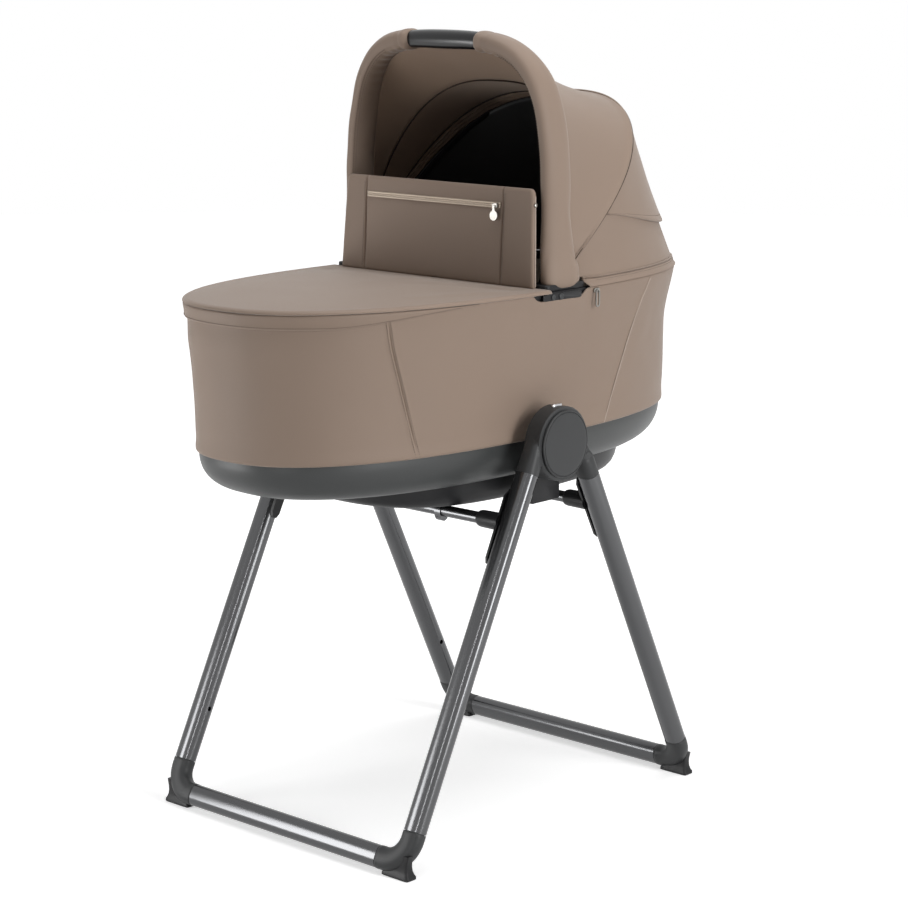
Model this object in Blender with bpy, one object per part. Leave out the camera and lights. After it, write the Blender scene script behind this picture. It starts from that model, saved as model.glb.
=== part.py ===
# Bassinet on a folding stand, in metres with +Z up, its foot end toward -Y and its hood toward +Y.
# The origin is on the floor below the middle of the tub, and X runs across the stand.
import math

import bmesh
import bpy
from mathutils import Vector

# The tub's half width at its rim, which the stand, the pod and the hood follow.
TUB_HALF_WIDTH = 0.226

# Stand: two U frames of oval tube, hinged at two hubs.
LEG_CLEAR = 0.021
LEG_X = TUB_HALF_WIDTH + LEG_CLEAR
HUB_Y = -0.020
HUB_Z = 0.591
LEG_OFFSET = 0.042
FOOT_SPREAD = 0.3255
BAR_Z = 0.021
TUBE_WIDE = 0.034
TUBE_THICK = 0.028
TUBE_WALL = 0.0016
TUBE_POWER = 2.5
TUBE_SIDES = 16
BEND_RADIUS = 0.038
BEND_STEPS = 6
ELBOW_REACH = 0.048
SPIGOT_LENGTH = 0.024
SPIGOT_LEAD = 0.003
FRONT_SEAM = 0.063
REAR_SEAM = 0.086
BUTTON_HOLE_UP = 0.085
BUTTON_HOLE_RADIUS = 0.0038

# Feet: a gusset that fills the outer corner of each elbow down to the floor.
FOOT_OUT = 0.0145
FOOT_IN = 0.0385
FOOT_HEIGHT = 0.0342
FOOT_TOE = 0.0045
FOOT_DEEP = 0.0108
FOOT_WEB = 0.0068
FOOT_POCKET = 0.007

# Hubs: a drum housing with two cheeks, the rear arm's disc between them, and a round cap.
HUB_SIDES = 32
PIN_SIDES = 16
DRUM_DEPTH = 0.031
SLOT_WIDTH = 0.0165
SLOT_OPEN_ABOVE = 4.0
SLOT_OPEN_BELOW = 68.0
DISC_RADIUS = 0.0465
CAP_RADIUS = 0.0505
CAP_THICK = 0.0050
PIN_RADIUS = 0.0075
PIN_HEAD_RADIUS = 0.0125
PIN_HEAD_THICK = 0.003
TAB_LENGTH = 0.020
TAB_WIDTH = 0.0065
TAB_CORNER = 0.0024
TAB_PROUD = 0.0022
TAB_TRAVEL = 0.0015

# Seat brackets that carry the tub, and the cross tubes with their side plates.
BRACKET_DROP = 0.092
BRACKET_HALF = 0.031
BRACKET_THICK = 0.017
BRACKET_REACH = 0.050
BRACKET_PLATE = 0.007
BRACKET_TOP = 0.030
BRACKET_PAD_HALF = 0.017
BRACKET_PAD_LOW = 0.050
TONGUE_IN = 0.016
TONGUE_HALF = 0.017
TONGUE_THICK = 0.008
TONGUE_HEIGHT = 0.034
CROSS_ALONG = 0.140
CROSS_RADIUS = 0.0088
CROSS_WALL = 0.0014
CROSS_STOP = 0.010
CROSS_SOCKET_RADIUS = 0.0135
CROSS_SOCKET_LENGTH = 0.044
PLATE_THICK = 0.0045
PLATE_HALF = 0.011
PLATE_START = 0.094
PLATE_END = 0.205
COLLAR_X = 0.108
COLLAR_HALF = 0.006
COLLAR_RIM = 0.0014
COLLAR_TAIL = 0.0060

# Tub: a plan outline that is drawn in below the rim.
TUB_HALF_LENGTH = 0.467
TUB_POWER = 2.4
TUB_COUNT = 36
RIM_Z = 0.811
HULL_TOP_Z = 0.591
HULL_BOTTOM_Z = 0.533
WAIST_DRAW = 0.0185
COVER_THICK = 0.005
WALL_THICK = 0.004
LINING_THICK = 0.005
HULL_STEP = 0.0035
HULL_WALL = 0.004
HULL_ROUND = 0.070
HULL_ROUND_WIDE = 0.036
BOSS_HEIGHT = 0.032
RIM_TUBE = 0.0055
BEAD_DEPTH = 0.013
HEM_ROLL = 0.006
WALL_STEPS = 3
LINING_TUCK = 0.010
RIM_ROUND = 0.004

# Pod under the hull, which rocks when the tub stands on the floor.
POD_INSET = 0.060
POD_HALF_WIDTH = TUB_HALF_WIDTH - POD_INSET
POD_HALF_LENGTH = 0.290
POD_Y = 0.030
POD_DEPTH = 0.040
POD_ROCK = 0.007
POD_POWER = 3.2

# Mattress.
MATTRESS_GAP = 0.008
MATTRESS_THICK = 0.034
MATTRESS_CROWN = 0.009
# Height as a share of the thickness, then the inset in width and in length.
MATTRESS_RINGS = (
    (0.00, 0.0200, 0.0580), (0.10, 0.0060, 0.0215), (0.30, 0.0010, 0.0130), (0.50, 0.0000, 0.0060),
    (0.72, 0.0010, 0.0010), (0.94, 0.0080, 0.0080), (1.00, 0.0180, 0.0180))

# Apron over the foot end, its band round the rim, and the upright windshield.
APRON_THICK = 0.004
APRON_CROWN = 0.009
APRON_EDGE = 0.002
APRON_INSET = 0.0005
APRON_COLUMNS = 28
APRON_ROWS = 4
APRON_RISE = 0.10
BAND_HEIGHT = 0.021
BAND_THICK = 0.0026
BAND_GAP = 0.0007
BAND_SWEEP = 74.0
SHIELD_Y = -0.021
SHIELD_INSET = 0.026
SHIELD_HALF = TUB_HALF_WIDTH - SHIELD_INSET
SHIELD_TAPER = 0.008
SHIELD_HEIGHT = 0.146
SHIELD_THICK = 0.008
SHIELD_LEAN = 0.008
SHIELD_CORNER = 0.010

# Zip on the windshield's pocket.
ZIP_UP = 0.118
ZIP_FROM = -0.146
ZIP_TO = 0.130
ZIP_TAPE = 0.009
ZIP_TAPE_THICK = 0.0012
SLIDER_LENGTH = 0.010
SLIDER_WIDTH = 0.008
SLIDER_THICK = 0.0042
PULLER_RADIUS = 0.0078
PULLER_THICK = 0.0016
PULLER_NECK = 0.007
PULLER_NECK_HALF = 0.0022
PULLER_LIP = 0.0006
PULLER_STEPS = 16

# Hood: bows that turn about one axis over the tub's rim.
HOOD_Y = 0.027
HOOD_Z = 0.830
BOW_ANGLE = 90.0
MID_ANGLE = 44.5
BOW_INSET = 0.023
BOW_HALF = TUB_HALF_WIDTH - BOW_INSET
BOW_REACH = 0.344
BOW_POWER = 4.0
BOW_TUBE = 0.0075
BOW_SIDES = 12
BOW_CROWN = 0.020
BOW_CROWN_POWER = 8.0
SLEEVE_STEPS = 9
GRIP_STEPS = 6
SLEEVE_WIDE = 0.056
SLEEVE_THICK = 0.025
SLEEVE_TOP_WIDE = 0.043
SLEEVE_START = 0.0125
SLEEVE_FLARE = 0.026
SLEEVE_FLARE_REACH = 0.11
SLEEVE_TOP_THICK = 0.030
GRIP_HALF = 0.069
GRIP_RADIUS = 0.0132
CANOPY_THICK = 0.004
CANOPY_MID_INSET = 0.014
CANOPY_MID_HALF = TUB_HALF_WIDTH - CANOPY_MID_INSET
CANOPY_BASE_INSET = 0.007
CANOPY_BASE_START = 0.088
CANOPY_SAG = 0.010
MID_BEND = 5.0
PANEL_GAP = 0.0022
CANOPY_MID_REACH = 0.371
CANOPY_POWER = 2.9
CANOPY_REAR_SAG = 0.003
SEAM_START = 0.0015
CANOPY_COUNT = 24
FAN_START = 0.054
MID_BOW_INSET = 0.039
MID_BOW_HALF = TUB_HALF_WIDTH - MID_BOW_INSET
MID_BOW_REACH = 0.360
MID_BOW_WIDE = 0.010
MID_BOW_THICK = 0.004
WINDOW_TOP = 0.16
WINDOW_LOW = 0.60
WINDOW_SPREAD = 0.62
WINDOW_GAP = 0.0006
WINDOW_THICK = 0.0012
FLAP_HEM = 0.74
FLAP_SPREAD = 0.945
FLAP_CORNER = 0.50
FLAP_GAP = 0.0008
FLAP_PROUD = 0.006
FLAP_THICK = 0.003

# Hood pivots and the zip loops at the hood's base.
EYE_RADIUS = 0.0085
EYE_THICK = 0.008
EYE_PIN = 0.0035
PIVOT_FRONT = 0.038
PIVOT_BACK = 0.050
PIVOT_INSET = 0.007
PIVOT_WIDE = 0.0398
PIVOT_OUTER = TUB_HALF_WIDTH - PIVOT_INSET
PIVOT_INNER = PIVOT_OUTER - PIVOT_WIDE
PIVOT_CHEEK = 0.005
HOOD_SLIDER_BACK = 0.069
HOOD_SLIDER_DOWN = 0.006
HOOD_SLIDER_LENGTH = 0.012
HOOD_SLIDER_WIDTH = 0.008
HOOD_SLIDER_THICK = 0.004
LOOP_LENGTH = 0.026
LOOP_WIDTH = 0.009
LOOP_WIRE = 0.0022
LOOP_BAR = 0.0016
LOOP_LIP = 0.0006

# Clearances: between touching pieces, between sliding ones, and between turning ones.
GAP = 0.0003
SLIDE_GAP = 0.0006
TURN_GAP = 0.0008

# Step used to find the direction of an arch.
TURN_STEP = 0.004

MATERIALS = {
    "satin_tube": ((0.060, 0.062, 0.066, 1.0), 0.34, 0.70),
    "black_plastic": ((0.022, 0.023, 0.025, 1.0), 0.48, 0.0),
    "charcoal_plastic": ((0.055, 0.056, 0.059, 1.0), 0.42, 0.0),
    "gloss_grip": ((0.010, 0.010, 0.011, 1.0), 0.18, 0.0),
    "taupe_fabric": ((0.305, 0.235, 0.185, 1.0), 0.80, 0.0),
    "satin_alloy": ((0.060, 0.062, 0.066, 1.0), 0.34, 0.70),
    "cream_cotton": ((0.70, 0.66, 0.60, 1.0), 0.90, 0.0),
    "black_mesh": ((0.010, 0.010, 0.011, 1.0), 0.90, 0.0),
    "zip_metal": ((0.72, 0.70, 0.67, 1.0), 0.25, 1.0),
    "zip_tape": ((0.50, 0.42, 0.34, 1.0), 0.60, 0.0),
    "spring_steel": ((0.55, 0.55, 0.56, 1.0), 0.30, 1.0),
}

# Lean of the legs from upright: each leg's centre line passes LEG_OFFSET from the hub axis.
HUB_TO_BAR = math.hypot(FOOT_SPREAD, HUB_Z - BAR_Z)
LEAN = math.atan2(FOOT_SPREAD, HUB_Z - BAR_Z) - math.asin(LEG_OFFSET / HUB_TO_BAR)
LEG_RUN = math.sqrt(HUB_TO_BAR ** 2 - LEG_OFFSET ** 2)
STAND_FOLD = math.degrees(2.0 * LEAN)
DRUM_RADIUS = LEG_OFFSET + TUBE_THICK / 2.0
DRUM_IN = LEG_X - DRUM_DEPTH / 2.0
DRUM_OUT = LEG_X + DRUM_DEPTH / 2.0
SIDES = {"left": -1.0, "right": 1.0}
X_AXIS = Vector((1.0, 0.0, 0.0))
Y_AXIS = Vector((0.0, 1.0, 0.0))
Z_AXIS = Vector((0.0, 0.0, 1.0))


def clear_scene():
    for item in list(bpy.data.objects):
        bpy.data.objects.remove(item, do_unlink=True)


def material(name):
    found = bpy.data.materials.get(name)
    if found:
        return found
    colour, roughness, metallic = MATERIALS[name]
    made = bpy.data.materials.new(name)
    made.use_nodes = True
    shader = made.node_tree.nodes["Principled BSDF"]
    shader.inputs["Base Color"].default_value = colour
    shader.inputs["Roughness"].default_value = roughness
    shader.inputs["Metallic"].default_value = metallic
    made.diffuse_color = colour
    return made


def joint_empty(name, place, parent=None):
    made = bpy.data.objects.new(name, None)
    made.empty_display_size = 0.03
    made.location = Vector(place) - (parent["place_vector"] if parent else Vector())
    bpy.context.collection.objects.link(made)
    if parent:
        made.parent = parent["object"]
    return {"object": made, "place_vector": Vector(place)}


def mesh_object(name, points, faces, body=None, finish=None, smooth=35.0):
    # The points are world points, and the mesh is kept relative to its body's joint.
    origin = body["place_vector"] if body else Vector()
    data = bpy.data.meshes.new(name)
    data.from_pydata([tuple(Vector(p) - origin) for p in points], [], faces)
    build = bmesh.new()
    build.from_mesh(data)
    bmesh.ops.recalc_face_normals(build, faces=build.faces)
    build.to_mesh(data)
    build.free()
    data.shade_smooth()
    data.set_sharp_from_angle(angle=math.radians(smooth))
    made = bpy.data.objects.new(name, data)
    bpy.context.collection.objects.link(made)
    if body:
        made.parent = body["object"]
    if finish:
        data.materials.append(material(finish))
    return made


def as_cutter(item):
    item.hide_render = True
    item.display_type = "WIRE"
    return item


def boolean(item, other, operation):
    step = item.modifiers.new(operation.title() + " " + other.name, "BOOLEAN")
    step.operation = operation
    step.solver = "EXACT"
    step.object = as_cutter(other)


def loft(rings, cyclic=False):
    # Rings of equal count become one skin, capped at both ends unless the rings close on themselves.
    count = len(rings[0])
    points = [p for ring in rings for p in ring]
    faces = []
    for k in range(len(rings) if cyclic else len(rings) - 1):
        here = k * count
        there = ((k + 1) % len(rings)) * count
        for i in range(count):
            j = (i + 1) % count
            faces.append((here + i, here + j, there + j, there + i))
    if not cyclic:
        faces.append(tuple(range(count - 1, -1, -1)))
        last = (len(rings) - 1) * count
        faces.append(tuple(range(last, last + count)))
    return points, faces


def signed_power(value, power):
    return math.copysign(abs(value) ** power, value)


def oval(centre, across, along, half_across, half_along, power=2.0, count=TUBE_SIDES):
    ring = []
    for i in range(count):
        turn = 2.0 * math.pi * (i + 0.5) / count
        u = half_across * signed_power(math.cos(turn), 2.0 / power)
        v = half_along * signed_power(math.sin(turn), 2.0 / power)
        ring.append(centre + across * u + along * v)
    return ring


def rounded_outline(corners, radius, steps=4):
    # Corner points in order, each replaced by an arc of the given radius.
    outline = []
    total = len(corners)
    for i, corner in enumerate(corners):
        here = Vector(corner)
        before = (Vector(corners[i - 1]) - here).normalized()
        after = (Vector(corners[(i + 1) % total]) - here).normalized()
        half = before.angle(after) / 2.0
        reach = radius / math.tan(half)
        centre = here + (before + after).normalized() * (radius / math.sin(half))
        start = here + before * reach - centre
        end = here + after * reach - centre
        for k in range(steps + 1):
            share = k / steps
            blend = start * (1.0 - share) + end * share
            outline.append(centre + blend.normalized() * radius)
    return outline


def prism(name, outline, place, depth_axis, low, high, body=None, finish=None, edge=0.0, smooth=35.0):
    # An outline in a plane, pushed along depth_axis from low to high, with optional chamfered rims.
    rings = []
    for depth, shrink in ((low, edge), (low + edge, 0.0), (high - edge, 0.0), (high, edge)):
        if edge == 0.0 and len(rings) > 0 and depth == low:
            continue
        centre = sum((place(p) for p in outline), Vector()) / len(outline)
        ring = []
        for p in outline:
            point = place(p)
            if shrink:
                inward = centre - point
                point = point + inward.normalized() * min(shrink, inward.length * 0.5)
            ring.append(point + depth_axis * depth)
        rings.append(ring)
    if edge == 0.0:
        rings = [rings[0], rings[-1]]
    points, faces = loft(rings)
    return mesh_object(name, points, faces, body, finish, smooth)


def turned(name, profile, centre, axis, body=None, finish=None, count=40, smooth=35.0):
    # A profile of (distance along axis, radius) pairs turned about the axis.
    side = axis.orthogonal().normalized()
    other = axis.cross(side)
    rings = []
    for along, radius in profile:
        rings.append(oval(centre + axis * along, side, other, radius, radius, 2.0, count))
    points, faces = loft(rings)
    return mesh_object(name, points, faces, body, finish, smooth)


def smoothstep(value):
    value = min(max(value, 0.0), 1.0)
    return value * value * (3.0 - 2.0 * value)


def patch(name, place, columns, rows, skip, body, finish, smooth=40.0):
    # place(i, j, layer) gives a grid's outer skin (layer 0) and inner skin (layer 1) as one closed sheet.
    points = []
    for layer in (0, 1):
        for i in range(columns + 1):
            for j in range(rows + 1):
                points.append(place(i, j, layer))
    def index(i, j, layer):
        return (layer * (columns + 1) + i) * (rows + 1) + j
    kept = {(i, j) for i in range(columns) for j in range(rows) if not skip(i, j)}
    faces = []
    for i, j in sorted(kept):
        corners = ((i, j), (i + 1, j), (i + 1, j + 1), (i, j + 1))
        faces.append(tuple(index(a, b, 0) for a, b in corners))
        faces.append(tuple(index(a, b, 1) for a, b in reversed(corners)))
        neighbours = ((i, j - 1), (i + 1, j), (i, j + 1), (i - 1, j))
        for k, neighbour in enumerate(neighbours):
            if neighbour not in kept:
                a, b = corners[k], corners[(k + 1) % 4]
                faces.append((index(*b, 0), index(*a, 0), index(*a, 1), index(*b, 1)))
    used = sorted({v for face in faces for v in face})
    order = {v: k for k, v in enumerate(used)}
    faces = [tuple(order[v] for v in face) for face in faces]
    return mesh_object(name, [points[v] for v in used], faces, body, finish, smooth)


def leg_point(end, along, across=0.0):
    # A point on a leg's centre line: end is -1 for the front frame and +1 for the rear one.
    out = LEG_OFFSET + across
    y = HUB_Y + end * (out * math.cos(LEAN) + along * math.sin(LEAN))
    z = HUB_Z + out * math.sin(LEAN) - along * math.cos(LEAN)
    return Vector((0.0, y, z))


def leg_axes(end):
    down = Vector((0.0, end * math.sin(LEAN), -math.cos(LEAN)))
    outward = Vector((0.0, end * math.cos(LEAN), math.sin(LEAN)))
    return down, outward


def tube_ring(centre, outward, across, shrink=0.0):
    return oval(centre, across, outward, TUBE_WIDE / 2.0 - shrink, TUBE_THICK / 2.0 - shrink, TUBE_POWER)


def hollow_tube(name, start, end_point, outward, across, body):
    rings = [
        tube_ring(start, outward, across),
        tube_ring(end_point, outward, across),
        tube_ring(end_point, outward, across, TUBE_WALL),
        tube_ring(start, outward, across, TUBE_WALL),
    ]
    points, faces = loft(rings, cyclic=True)
    return mesh_object(name, points, faces, body, "satin_tube")


def make_legs(end, frame, body):
    seam = FRONT_SEAM if end < 0 else REAR_SEAM
    down, outward = leg_axes(end)
    for side, sign in SIDES.items():
        across = X_AXIS * sign
        shift = X_AXIS * (sign * LEG_X)
        top = leg_point(end, seam + GAP) + shift
        low = leg_point(end, LEG_RUN - ELBOW_REACH - GAP) + shift
        leg = hollow_tube(f"{frame}_leg_{side}", top, low, outward, across, body)
        hole = leg_point(end, LEG_RUN - ELBOW_REACH - BUTTON_HOLE_UP) + X_AXIS * sign * (LEG_X - TUBE_WIDE)
        cutter = turned(
            f"cut_{frame}_button_hole_{side}",
            ((0.0, BUTTON_HOLE_RADIUS), (TUBE_WIDE, BUTTON_HOLE_RADIUS)),
            hole, X_AXIS * sign, count=12)
        boolean(leg, cutter, "DIFFERENCE")


def make_bar(end, frame, body):
    down, outward = leg_axes(end)
    corner = leg_point(end, LEG_RUN)
    reach = LEG_X - ELBOW_REACH - GAP
    rings = []
    for x, shrink in ((-reach, 0.0), (reach, 0.0), (reach, TUBE_WALL), (-reach, TUBE_WALL)):
        rings.append(tube_ring(corner + X_AXIS * x, outward, down, shrink))
    points, faces = loft(rings, cyclic=True)
    mesh_object(f"{frame}_bar", points, faces, body, "satin_tube")


def elbow_rings(end, sign):
    # The path runs up inside the bar, round the bend and up inside the leg.
    down, outward = leg_axes(end)
    corner = leg_point(end, LEG_RUN) + X_AXIS * (sign * LEG_X)
    inward = X_AXIS * -sign
    up = -down
    fit = TUBE_WALL + GAP
    rings = []

    def straight(direction, distance, shrink):
        across = up if direction == inward else -inward
        rings.append(tube_ring(corner + direction * distance, outward, across, shrink))

    straight(inward, ELBOW_REACH + SPIGOT_LENGTH, fit)
    straight(inward, ELBOW_REACH, fit)
    straight(inward, ELBOW_REACH, 0.0)
    centre = corner + inward * BEND_RADIUS + up * BEND_RADIUS
    for k in range(BEND_STEPS + 1):
        turn = math.pi / 2.0 * k / BEND_STEPS
        radial = up * -math.cos(turn) + inward * -math.sin(turn)
        rings.append(tube_ring(centre + radial * BEND_RADIUS, outward, -radial))
    straight(up, ELBOW_REACH, 0.0)
    straight(up, ELBOW_REACH, fit)
    straight(up, ELBOW_REACH + SPIGOT_LENGTH, fit)
    return rings


def foot_middle(end):
    return HUB_Y + end * FOOT_SPREAD


def make_foot_block(name, end, sign):
    # The gusset: a web up to the bend that flares out to a long sole.
    rings = []
    for height, out, inner, half in (
            (0.0, FOOT_OUT, FOOT_IN, FOOT_DEEP), (FOOT_TOE, FOOT_OUT, FOOT_IN, FOOT_DEEP),
            (FOOT_HEIGHT * 0.5, FOOT_OUT * 0.985, FOOT_IN * 0.75, (FOOT_DEEP + FOOT_WEB) * 0.5),
            (FOOT_HEIGHT, FOOT_OUT * 0.86, 0.0015, FOOT_WEB)):
        middle = foot_middle(end)
        ring = []
        for x, y in ((out, half), (-inner, half), (-inner, -half), (out, -half)):
            ring.append(Vector((sign * (LEG_X + x), middle + y, height)))
        rings.append(ring)
    points, faces = loft(rings)
    return mesh_object(name, points, faces)


def make_foot_recess(name, end, sign):
    # A pocket in the gusset's outer end that leaves a rib along each face.
    rings = []
    for height, share in ((FOOT_TOE + 0.001, 0.55), (FOOT_HEIGHT * 0.72, 0.35)):
        middle = foot_middle(end)
        half = FOOT_DEEP * share
        ring = []
        for x, y in ((FOOT_OUT - FOOT_POCKET, half), (FOOT_OUT + FOOT_POCKET, half),
                     (FOOT_OUT + FOOT_POCKET, -half), (FOOT_OUT - FOOT_POCKET, -half)):
            ring.append(Vector((sign * (LEG_X + x), middle + y, height)))
        rings.append(ring)
    points, faces = loft(rings)
    return mesh_object(name, points, faces)


def make_elbows(end, frame, body):
    for side, sign in SIDES.items():
        points, faces = loft(elbow_rings(end, sign))
        elbow = mesh_object(f"{frame}_elbow_{side}", points, faces, body, "black_plastic")
        block = make_foot_block(f"join_{frame}_foot_{side}", end, sign)
        boolean(elbow, block, "UNION")
        recess = make_foot_recess(f"cut_{frame}_foot_{side}", end, sign)
        boolean(elbow, recess, "DIFFERENCE")


def hub_plane(p):
    return Vector((0.0, HUB_Y + p[0], HUB_Z + p[1]))


def circle(radius, count):
    turns = [2.0 * math.pi * i / count for i in range(count)]
    return [(radius * math.cos(turn), radius * math.sin(turn)) for turn in turns]


def pie(radius, high, low, steps=12):
    outline = [(0.0, 0.0)]
    for k in range(steps + 1):
        turn = math.radians(high + (low - high) * k / steps)
        outline.append((radius * math.cos(turn), radius * math.sin(turn)))
    return outline


def make_hub_housing(side, sign, body):
    # A drum whose edge runs tangent into the socket of the front leg.
    place = hub_plane
    axis = X_AXIS * sign
    drum = prism(
        f"hub_housing_{side}", circle(DRUM_RADIUS, HUB_SIDES), place, axis, DRUM_IN, DRUM_OUT,
        body, "charcoal_plastic", edge=0.002)
    down, outward = leg_axes(-1)
    shift = axis * LEG_X
    fit = TUBE_WALL + GAP
    half_drum = DRUM_DEPTH / 2.0
    half_thick = TUBE_THICK / 2.0
    rings = []
    for along, wide, thick, power in (
            (0.004, half_drum - 0.002, half_thick - 0.004, 4.0), (0.022, half_drum - 0.001, half_thick, 3.4),
            (LEG_OFFSET, half_drum, half_thick, 3.0)):
        rings.append(oval(leg_point(-1, along) + shift, axis, outward, wide, thick, power))
    for along, shrink in (
            (FRONT_SEAM, 0.0), (FRONT_SEAM, fit),
            (FRONT_SEAM + SPIGOT_LENGTH - SPIGOT_LEAD, fit), (FRONT_SEAM + SPIGOT_LENGTH, fit + 0.001)):
        rings.append(tube_ring(leg_point(-1, along) + shift, outward, axis, shrink))
    points, faces = loft(rings)
    boolean(drum, mesh_object(f"join_hub_socket_{side}", points, faces), "UNION")

    low = LEG_X - SLOT_WIDTH / 2.0
    high = LEG_X + SLOT_WIDTH / 2.0
    room = circle(DISC_RADIUS + TURN_GAP, HUB_SIDES)
    boolean(drum, prism(f"cut_hub_disc_{side}", room, place, axis, low, high), "DIFFERENCE")
    lean = math.degrees(LEAN)
    sweep = pie(DRUM_RADIUS + TUBE_THICK, lean + SLOT_OPEN_ABOVE, lean - SLOT_OPEN_BELOW - STAND_FOLD)
    boolean(drum, prism(f"cut_hub_sweep_{side}", sweep, place, axis, low, high), "DIFFERENCE")
    bore = circle(PIN_RADIUS + GAP, PIN_SIDES)
    cutter = prism(f"cut_hub_bore_{side}", bore, place, axis, DRUM_IN - DRUM_DEPTH, DRUM_OUT + DRUM_DEPTH)
    boolean(drum, cutter, "DIFFERENCE")
    make_tab_pocket(drum, side, sign)


def tab_outline(sign, room):
    # The release tab's outline in plan, on top of the drum.
    half_long = TAB_LENGTH / 2.0 + room
    half_wide = TAB_WIDTH / 2.0 + room
    corners = [(-half_wide, -half_long, 0.0), (half_wide, -half_long, 0.0),
               (half_wide, half_long, 0.0), (-half_wide, half_long, 0.0)]
    outline = rounded_outline(corners, TAB_CORNER, 3)

    def place(p):
        return Vector((sign * LEG_X + p[0], HUB_Y + p[1], 0.0))
    return outline, place


def tab_low():
    # The tab's lower end stays clear of the rear arm's disc when it is pressed in.
    return HUB_Z + DISC_RADIUS + TURN_GAP + TAB_TRAVEL


def make_tab_pocket(drum, side, sign):
    outline, place = tab_outline(sign, SLIDE_GAP)
    low = tab_low() - TAB_TRAVEL - 2.0 * TURN_GAP
    high = HUB_Z + 2.0 * DRUM_RADIUS
    cutter = prism(f"cut_tab_pocket_{side}", outline, place, Z_AXIS, low, high)
    boolean(drum, cutter, "DIFFERENCE")


def make_release_tab(side, sign, body):
    outline, place = tab_outline(sign, 0.0)
    high = HUB_Z + DRUM_RADIUS + TAB_PROUD
    prism(f"release_tab_{side}", outline, place, Z_AXIS, tab_low(), high, body, "spring_steel", edge=0.0009)


def make_hub_cap(side, sign, body):
    outer = DRUM_OUT + GAP
    profile = (
        (outer, CAP_RADIUS), (outer + CAP_THICK * 0.45, CAP_RADIUS),
        (outer + CAP_THICK * 0.80, CAP_RADIUS - 0.0014), (outer + CAP_THICK * 0.92, CAP_RADIUS - 0.004),
        (outer + CAP_THICK * 0.92, CAP_RADIUS - 0.0075), (outer + CAP_THICK, CAP_RADIUS - 0.0090),
        (outer + CAP_THICK * 1.06, CAP_RADIUS * 0.4))
    centre = Vector((0.0, HUB_Y, HUB_Z))
    turned(f"hub_cap_{side}", profile, centre, X_AXIS * sign, body, "charcoal_plastic",
           count=HUB_SIDES, smooth=25.0)


def make_hub_pin(side, sign, body):
    inner = DRUM_IN - GAP
    profile = (
        (inner - PIN_HEAD_THICK, PIN_HEAD_RADIUS - 0.0012), (inner - PIN_HEAD_THICK * 0.5, PIN_HEAD_RADIUS),
        (inner, PIN_HEAD_RADIUS), (inner, PIN_RADIUS),
        (DRUM_OUT - 0.001, PIN_RADIUS), (DRUM_OUT - GAP, PIN_RADIUS - 0.0007))
    centre = Vector((0.0, HUB_Y, HUB_Z))
    turned(f"hub_pin_{side}", profile, centre, X_AXIS * sign, body, "spring_steel", count=PIN_SIDES)


def make_rear_arm(side, sign, body):
    # A disc between the housing's cheeks, with a neck that widens into the rear leg's spigot.
    place = hub_plane
    axis = X_AXIS * sign
    half = SLOT_WIDTH / 2.0 - TURN_GAP
    arm = prism(
        f"rear_arm_{side}", circle(DISC_RADIUS, HUB_SIDES), place, axis, LEG_X - half, LEG_X + half,
        body, "charcoal_plastic", edge=0.0008)
    down, outward = leg_axes(1)
    shift = axis * LEG_X
    fit = TUBE_WALL + GAP
    start = math.sqrt((DRUM_RADIUS + TURN_GAP) ** 2 - (LEG_OFFSET - TUBE_THICK / 2.0) ** 2)
    thin = TUBE_THICK / 2.0 - GAP
    rings = [
        oval(leg_point(1, 0.002) + shift, axis, outward, half, thin * 0.9, 6.0),
        oval(leg_point(1, start) + shift, axis, outward, half, thin, 6.0),
        oval(leg_point(1, start + 0.004) + shift, axis, outward, TUBE_WIDE / 2.0 - 0.002, thin, 3.0),
        tube_ring(leg_point(1, start + 0.010) + shift, outward, axis),
        tube_ring(leg_point(1, REAR_SEAM) + shift, outward, axis),
        tube_ring(leg_point(1, REAR_SEAM) + shift, outward, axis, fit),
        tube_ring(leg_point(1, REAR_SEAM + SPIGOT_LENGTH - SPIGOT_LEAD) + shift, outward, axis, fit),
        tube_ring(leg_point(1, REAR_SEAM + SPIGOT_LENGTH) + shift, outward, axis, fit + 0.001),
    ]
    points, faces = loft(rings)
    boolean(arm, mesh_object(f"join_rear_neck_{side}", points, faces), "UNION")
    bore = circle(PIN_RADIUS + GAP, PIN_SIDES)
    cutter = prism(f"cut_arm_bore_{side}", bore, place, axis, DRUM_IN - DRUM_DEPTH, DRUM_OUT + DRUM_DEPTH)
    boolean(arm, cutter, "DIFFERENCE")


def bracket_floor():
    return HUB_Z - BRACKET_DROP


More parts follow.
